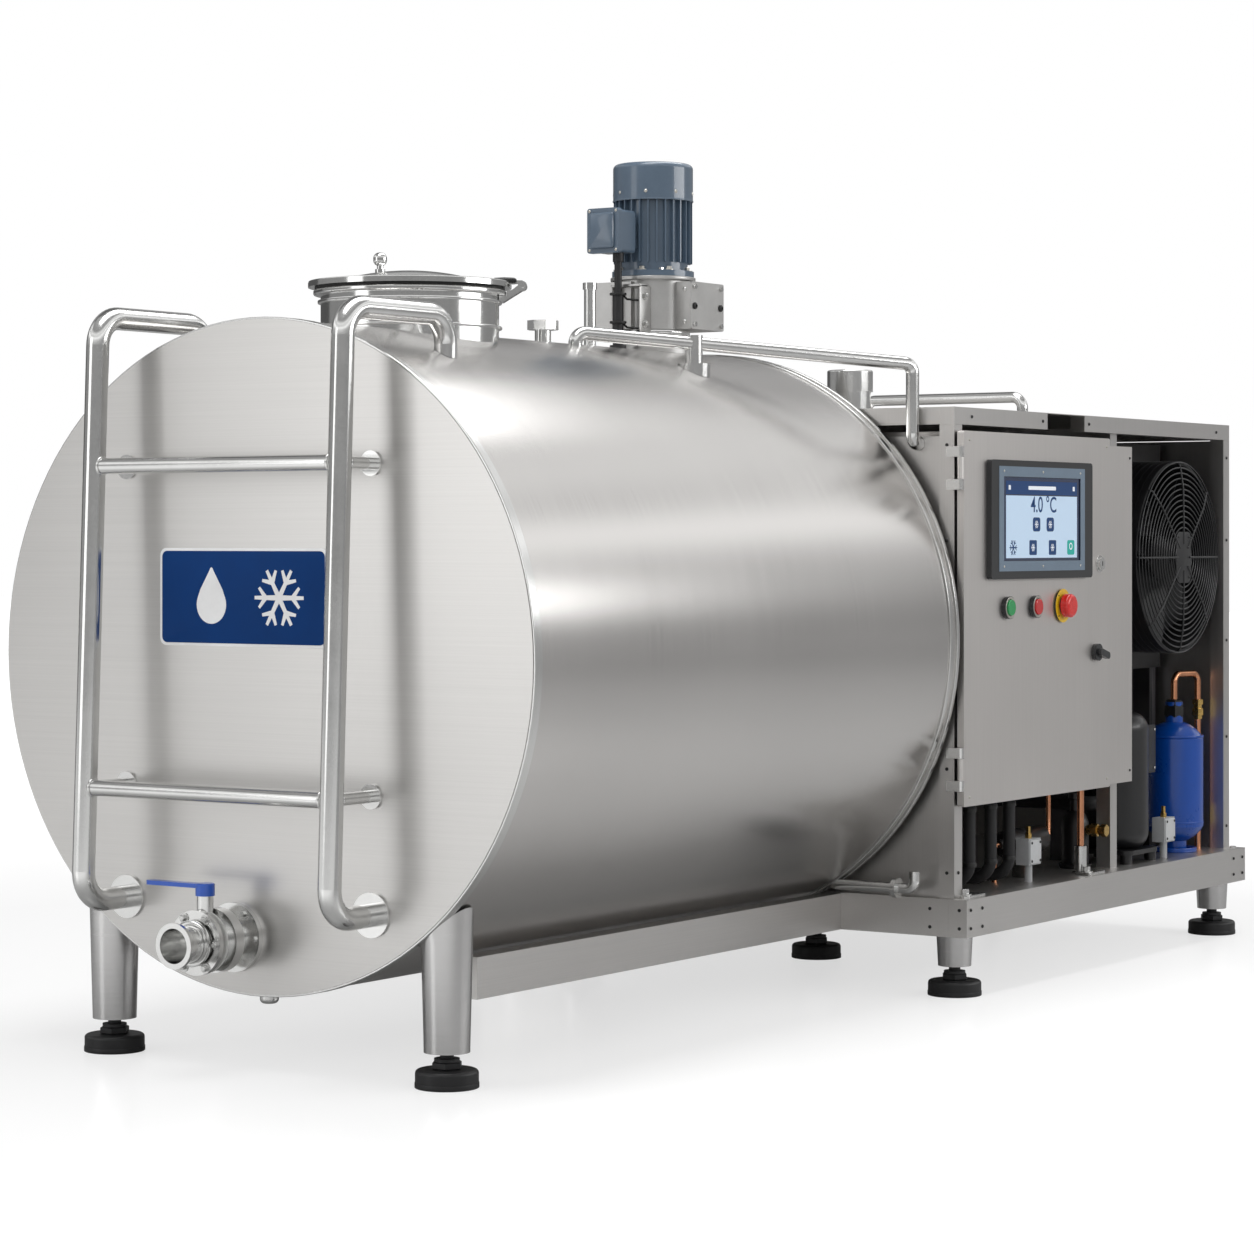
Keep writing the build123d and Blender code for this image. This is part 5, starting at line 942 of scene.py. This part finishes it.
VIEW_RIGHT = (1, 0, 0)
FRAME_BORDER = 0.026
bezel_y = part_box("hmi_bezel")[0].y
screen_low, screen_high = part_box("hmi_screen")
finished(framing("display_frame", (screen_low.x - FRAME_BORDER, screen_low.z - FRAME_BORDER),
                 (screen_high.x + FRAME_BORDER, screen_high.z + FRAME_BORDER), FRAME_BORDER - 0.001,
                 bezel_y - 0.0001, 0.0007), frame_grey, "control_door")
places = [aimed((x, bezel_y - 0.0005, z), CONTROL_SIDE)
          for x in (screen_low.x, (screen_low.x + screen_high.x) / 2, screen_high.x)
          for z in (screen_low.z - FRAME_BORDER * 0.55, screen_high.z + FRAME_BORDER * 0.55)]
fastened("display_screws", pan_screw(0.0030), places, screw_steel, "control_door")

glass_y = screen_low.y
wide, tall = screen_high.x - screen_low.x, screen_high.z - screen_low.z


def on_screen(u, v):
    """A place on the screen from its left and its foot, as shares of its size."""
    return screen_low.x + u * wide, screen_low.z + v * tall


def tile(name, u, v, across, up, raise_by, corner=0.0):
    """A lit tile centred on a place of the screen, sized in shares of the screen's height."""
    x, z = on_screen(u, v)
    half_x, half_z = tall * across / 2, tall * up / 2
    return plate(name, (x - half_x, glass_y - raise_by, z - half_z),
                 (x + half_x, glass_y + 0.0002, z + half_z), 1, corner)


FIELD_WIDTH = wide / tall * 0.93
TITLE_V, KEY_V, ROW_V = 0.875, 0.435, 0.155
KEY_U = (0.425, 0.605)
ROW_U = (0.38, 0.635)
GO_U = 0.88
LAYER, TOP_LAYER = 0.0003, 0.0005


def shown(name, pieces, material):
    """Lit pieces of one colour, joined and set on the door."""
    finished(joined(name, pieces), material, "control_door")


shown("screen_field", [tile("field", 0.5, 0.405, FIELD_WIDTH, 0.75, LAYER)], display_pale)
shown("screen_title", [tile("title", 0.5, TITLE_V, FIELD_WIDTH, 0.16, LAYER)], display_navy)
shown("title_mark", [tile("mark", 0.5, TITLE_V, wide / tall * 0.36, 0.045, TOP_LAYER, 0.003)], display_white)
shown("title_corners", [tile("mark", u, TITLE_V, 0.055, 0.055, TOP_LAYER, 0.002) for u in (0.08, 0.92)],
      display_white)
keys = [tile("key", u, KEY_V, 0.20, 0.17, TOP_LAYER, 0.008) for u in KEY_U]
keys += [tile("key", u, ROW_V, 0.20, 0.18, TOP_LAYER, 0.004) for u in ROW_U]
shown("screen_keys", keys, display_navy)
shown("screen_go", [tile("go", GO_U, ROW_V, 0.20, 0.18, TOP_LAYER, 0.006)], display_teal)
marks = []
for u, v in [(u, KEY_V) for u in KEY_U] + [(u, ROW_V) for u in ROW_U]:
    x, z = on_screen(u, v)
    marks.append(crystal("mark", (x, glass_y - 0.0004, z), tall * 0.10, VIEW_RIGHT, UPWARD, LAYER))
x, z = on_screen(GO_U, ROW_V)
marks.append(hoop("mark", (x, glass_y - 0.0004, z + 0.003), CONTROL_SIDE, 0.0060, 0.0090, LAYER, 24))
shown("key_marks", marks, display_white)
x, z = on_screen(0.125, ROW_V)
cold = crystal("crystal", (x, glass_y - 0.0002, z), tall * 0.20, VIEW_RIGHT, UPWARD, 0.0004)
shown("screen_crystal", [cold], display_navy)
x, z = on_screen(0.52, 0.585)
bpy.ops.object.select_all(action="DESELECT")
bpy.ops.object.text_add(location=(x, glass_y - 0.0003, z), rotation=(pi / 2, 0, 0))
reading = bpy.context.object
reading.name = "screen_reading"
reading.data.body = "4.0 °C"
reading.data.size = tall * 0.27
reading.data.align_x = "CENTER"
reading.data.extrude = 0.0002
reading.data.offset = 0.0005
pick(reading)
bpy.ops.object.convert(target="MESH")
finished(bpy.context.object, display_navy, "control_door")

# ------------------------------------------------------------------ buttons and stop
# Moulded push buttons in black sockets, each in a bright turned collar. The emergency
# stop has a yellow plate with four dark studs.
cover("button_sockets", bezel_black)
cover("green_button", coated("button_green", (0.005, 0.30, 0.075), 0.22, coat=0.6))
cover("red_button", coated("button_red", (0.55, 0.008, 0.010), 0.22, coat=0.6))
cover("estop_button", coated("estop_red", (0.68, 0.012, 0.008), 0.24, coat=0.6))
COLLAR_Y = -0.7168
STOP_PLATE_Y = -0.7098
for name in ("green_button", "red_button"):
    low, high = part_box(name)
    centre = ((low.x + high.x) / 2, COLLAR_Y, (low.z + high.z) / 2)
    collar = hoop(name + "_collar", centre, CONTROL_SIDE, 0.0212, 0.0268, 0.0012)
    finished(collar, screw_steel, "control_door")
stop_low, stop_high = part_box("estop_button")
stop_x, stop_z = (stop_low.x + stop_high.x) / 2, (stop_low.z + stop_high.z) / 2
stop_yellow = coated("stop_yellow", (0.78, 0.50, 0.008), 0.34, coat=0.4)
finished(hoop("stop_plate", (stop_x, STOP_PLATE_Y, stop_z), CONTROL_SIDE, 0.0225, 0.0425, 0.0008),
         stop_yellow, "control_door")
places = around((stop_x, STOP_PLATE_Y - 0.0006, stop_z), CONTROL_SIDE, 0.0365, 4, pi / 4)
fastened("stop_studs", pan_screw(0.0022), places, screw_black, "control_door")

# ------------------------------------------------------------------ lock and handle
# The lock is a polished barrel with a key slot in a turned collar. The door's handle is
# black moulded plastic on a bright boss.
cover("door_lock", neck_polish)
cover("door_handle", bezel_black)
lock_low, lock_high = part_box("door_lock")
lock_x, lock_z = (lock_low.x + lock_high.x) / 2, (lock_low.z + lock_high.z) / 2
finished(plate("lock_slot", (lock_x - 0.0016, lock_low.y - 0.0004, lock_z - 0.0060),
               (lock_x + 0.0016, lock_low.y + 0.0002, lock_z + 0.0060), 1, 0.0010), screw_black, "door_lock")
finished(hoop("lock_collar", (lock_x, -0.7052, lock_z), CONTROL_SIDE, 0.0165, 0.0215, 0.0020),
         neck_polish, "control_door")
BOSS_X, BOSS_Z = 0.889, 0.812
handle_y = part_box("door_handle")[0].y
finished(turned("handle_boss", (BOSS_X, handle_y + 0.003, BOSS_Z), CONTROL_SIDE,
                ((0, 0.0085), (0.0024, 0.0080), (0.0028, 0.0050)), 24), screw_steel, "door_handle")

# ------------------------------------------------------------------ fan and guard
# A black fan and shroud behind a guard of fifteen welded wire rings and eight spokes with
# turned-back feet, coated black. A round-cornered plate covers the fan's hub.
fan_black = coated("fan_black", (0.006, 0.006, 0.007), 0.42, coat=0.1, mottle=120)
for node in ("fan_shroud", "fan_guard", "fan_blades"):
    cover(node, fan_black)
guard_low, guard_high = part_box("fan_guard")
fan_x, fan_z = (guard_low.x + guard_high.x) / 2, (guard_low.z + guard_high.z) / 2
guard_radius = (guard_high.x - guard_low.x) / 2
HUB_RADIUS = 0.052
WIRE = 0.0022
RINGS = 15
SPOKES = 8
guard_front = guard_low.y + WIRE
rings = []
for step in range(RINGS):
    radius = HUB_RADIUS + (guard_radius - WIRE - HUB_RADIUS) * step / (RINGS - 1)
    drop = 0.012 * (step / (RINGS - 1)) ** 3
    rings.append(wire("ring", [(fan_x + radius * cos(2 * pi * k / 64), guard_front + drop,
                                fan_z + radius * sin(2 * pi * k / 64)) for k in range(64)], WIRE, True, 1))
for spoke in range(SPOKES):
    angle = radians(360 / SPOKES * spoke)
    bends = ((HUB_RADIUS * 0.7, guard_front - 0.0015), (guard_radius * 0.72, guard_front + 0.0006),
             (guard_radius * 0.96, guard_front + 0.0100), (guard_radius * 0.985, guard_front + 0.0200))
    points = [(fan_x + cos(angle) * reach, y, fan_z + sin(angle) * reach) for reach, y in bends]
    rings.append(wire("spoke", points, WIRE * 1.35))
finished(joined("guard_wires", rings), fan_black, "tank", ("fan_guard",))
HUB_HALF = (0.048, 0.070)
HUB_SCREW = (0.034, 0.055)
hub_plate = plate("guard_hub", (fan_x - HUB_HALF[0], guard_low.y + 0.0002, fan_z - HUB_HALF[1]),
                  (fan_x + HUB_HALF[0], guard_low.y + 0.0060, fan_z + HUB_HALF[1]), 1, 0.022, 0.0014)
finished(hub_plate, fan_black, "tank")
places = [aimed((fan_x + dx, guard_low.y + 0.0004, fan_z + dz), CONTROL_SIDE)
          for dx in (-HUB_SCREW[0], HUB_SCREW[0]) for dz in (-HUB_SCREW[1], HUB_SCREW[1])]
fastened("hub_screws", pan_screw(0.0030), places, screw_black)

# ------------------------------------------------------------------ condenser coil
# Thin upright aluminium fins pressed on tubes, in a dark grey, with painted shade in the gaps between the
# fins. The coil stands behind the fan's shroud.
coil = Finish("coil_fins", (0.16, 0.16, 0.17), rough=0.45, metal=1.0)
fins = coil.noise((400, 4, 4), detail=1.0)
# Painted shade: the stripes darken the gaps between the fins. The same stripes give the fins their relief.
coil.shade(coil.stretch(fins, 0.35, 0.65), 0.25, 1.5)
coil.bump(fins, 0.5, 0.002)
cover("condenser", coil.material)

# ------------------------------------------------------------------ receiver and small valves
# The welded steel receiver is painted blue, with a seam at each end and a black valve cap on
# its neck. Brass service valves sit on the copper line beside it.
receiver_blue = coated("receiver_blue", (0.001, 0.062, 0.360), 0.26, coat=0.35, mottle=70)
cover("receiver", receiver_blue)
copper = Finish("copper_tube", (0.78, 0.36, 0.20), rough=0.22, metal=1.0)
tarnish = copper.noise((22, 22, 22), detail=4.0)
copper.shade(tarnish, 0.55, 1.15)
copper.put("Roughness", 0.14 + 0.22 * tarnish)
cover("copper_pipes", copper.material)
brass = Finish("valve_brass", (0.70, 0.47, 0.16), rough=0.26, metal=1.0)
patina = brass.noise((60, 60, 60), detail=4.0)
brass.shade(patina, 0.60, 1.15)
brass.put("Roughness", 0.18 + 0.2 * patina)
recv_low, recv_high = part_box("receiver")
recv_x, recv_y = (recv_low.x + recv_high.x) / 2, (recv_low.y + recv_high.y) / 2
recv_radius = (recv_high.x - recv_low.x) / 2
seams = [hoop("seam", (recv_x, recv_y, z), UPWARD, recv_radius - 0.002, recv_radius + 0.0012, 0.006)
         for z in (0.318, 0.555)]
finished(joined("receiver_seams", seams), receiver_blue, "tank")
CAP_PROFILE = ((0, 0.0255), (0.006, 0.0285), (0.030, 0.0285), (0.034, 0.0250), (0.046, 0.0250),
               (0.049, 0.0180))
finished(turned("receiver_cap", (recv_x, recv_y, 0.610), UPWARD, CAP_PROFILE, 6), screw_black, "tank")
finished(hoop("receiver_foot", (recv_x, recv_y, 0.2385), UPWARD, 0.050, 0.062, 0.012), receiver_blue, "tank")


def service_valve(place, axis):
    """A hex-bodied valve with a round union nut at each end."""
    profile = ((0, 0.0135), (0.010, 0.0135), (0.011, 0.0170), (0.030, 0.0170), (0.031, 0.0125),
               (0.040, 0.0125), (0.041, 0.0165), (0.055, 0.0165))
    return turned("valve", place, axis, profile, 6)


PIPE_X, PIPE_Y = 1.723, -0.620
STUB_X, STUB_Y = 0.913, -0.652
STUB_PROFILE = ((0, 0.0220), (0.004, 0.0220), (0.006, 0.0160), (0.070, 0.0160), (0.072, 0.0125))
valves = [service_valve((PIPE_X, PIPE_Y, z), UPWARD) for z in (0.600, 0.300)]
finished(joined("service_valves", valves), brass.material, "tank")
finished(turned("stub_sleeve", (STUB_X, STUB_Y, TRAY_Z), UPWARD, STUB_PROFILE, 28), tube_polish, "tank")

# ------------------------------------------------------------------ hoses and switches
# Worm-drive clips grip each foam-covered hose. The grey pressure switches have a light lid
# with four dark corner screws, and a brass stub on top.
cover("insulated_hoses", coated("hose_foam", (0.012, 0.012, 0.013), 0.62, mottle=260, depth=0.001))
cover("pressure_switches", coated("switch_case", (0.42, 0.43, 0.44), 0.38))
HOSE_X = (0.328, 0.440, 0.540)
HOSE_Y = -0.636
clips = [hoop("clip", (x, HOSE_Y, z), UPWARD, 0.0146, 0.0172, 0.011, 28)
         for x in HOSE_X for z in (0.300, 0.436)]
finished(joined("hose_clips", clips), screw_black, "tank")
switch_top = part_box("pressure_switches")[1].z
CASE_HALF = 0.033
LID_INSET = 0.003
SWITCH_SCREW = 0.023
lids, stubs, places = [], [], []
for x, y in ((0.638, -0.640), (1.418, -0.655)):
    front = y - 0.018
    lid_half = CASE_HALF - LID_INSET
    lids.append(plate("switch_lid", (x - lid_half, front - 0.004, switch_top - CASE_HALF - lid_half),
                      (x + lid_half, front + 0.001, switch_top - LID_INSET), 1, 0.006, 0.0015))
    places += [aimed((x + dx, front - 0.0036, switch_top - CASE_HALF + dz), CONTROL_SIDE)
               for dx in (-SWITCH_SCREW, SWITCH_SCREW) for dz in (-SWITCH_SCREW, SWITCH_SCREW)]
    stubs.append(turned("stub", (x, y, switch_top), UPWARD,
                        ((0, 0.009), (0.012, 0.009), (0.013, 0.006), (0.030, 0.006)), 6))
lid_light = coated("switch_lid", (0.56, 0.57, 0.58), 0.34, coat=0.2)
finished(joined("switch_lids", lids), lid_light, "tank")
finished(joined("switch_stubs", stubs), brass.material, "tank")
fastened("switch_screws", pan_screw(0.0036), places, screw_black)

# ------------------------------------------------------------------ filter drier
# A black-painted steel drier lies on a bright foot, between lines of copper tube that are
# soldered in.
compressor_black = coated("compressor_black", (0.006, 0.006, 0.007), 0.38, coat=0.15)
DRIER_Y, DRIER_Z = -0.575, 0.330
DRIER_X = (0.600, 0.860)
LINE_RADIUS = 0.0065
length = DRIER_X[1] - DRIER_X[0]
profile = ((0, 0.011), (0.018, 0.013), (0.022, 0.024), (0.034, 0.034), (length * 0.38, 0.034),
           (length * 0.39, 0.0355), (length * 0.43, 0.0355), (length * 0.44, 0.034),
           (length - 0.034, 0.034), (length - 0.022, 0.024), (length - 0.018, 0.013), (length, 0.011))
drier = turned("filter_drier", (DRIER_X[0], DRIER_Y, DRIER_Z), BAY_END, profile, 36)
finished(drier, compressor_black, "tank")
box_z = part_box("control_box")[0].z
lines = []
for x, out, end_z in ((DRIER_X[0], -1, TRAY_Z), (DRIER_X[1], 1, box_z)):
    lines.append(wire("line", [(x - out * 0.004, DRIER_Y, DRIER_Z), (x + out * 0.014, DRIER_Y, DRIER_Z),
                               (x + out * 0.022, DRIER_Y, DRIER_Z + out * 0.008),
                               (x + out * 0.022, DRIER_Y, end_z)], LINE_RADIUS))
finished(joined("drier_lines", lines), copper.material, "tank")
drier_foot = plate("drier_foot", (0.715, DRIER_Y - 0.020, TRAY_Z),
                   (0.745, DRIER_Y + 0.020, DRIER_Z - 0.0335), 0, 0.004, 0.001)
finished(drier_foot, bolt_steel, "tank")

# ------------------------------------------------------------------ compressor and separator
# A black-painted hermetic compressor, whose terminal cover has a screwed lid. The spun
# steel oil separator beside it has a brass valve.
cover("compressor", compressor_black)
SEPARATOR = (1.030, -0.580)
profile = ((0, 0.040), (0.012, 0.044), (0.014, 0.036), (0.120, 0.036), (0.140, 0.028), (0.150, 0.014),
           (0.180, 0.014), (0.182, 0.019), (0.198, 0.019), (0.200, 0.012))
finished(turned("oil_separator", (*SEPARATOR, TRAY_Z), UPWARD, profile, 40), compressor_black, "tank")
finished(service_valve((SEPARATOR[0], SEPARATOR[1] - 0.036, 0.340), CONTROL_SIDE), brass.material, "tank")
COVER_LOW, COVER_HIGH = (1.338, -0.6385, 0.474), (1.406, -0.6345, 0.596)
finished(plate("compressor_lid", COVER_LOW, COVER_HIGH, 1, 0.008, 0.0012), screw_black, "tank")
places = [aimed((x, COVER_LOW[1] + 0.0002, z), CONTROL_SIDE)
          for x in (COVER_LOW[0] + 0.008, COVER_HIGH[0] - 0.008)
          for z in (COVER_LOW[2] + 0.009, COVER_HIGH[2] - 0.009)]
fastened("compressor_screws", pan_screw(0.0034), places, bolt_steel)
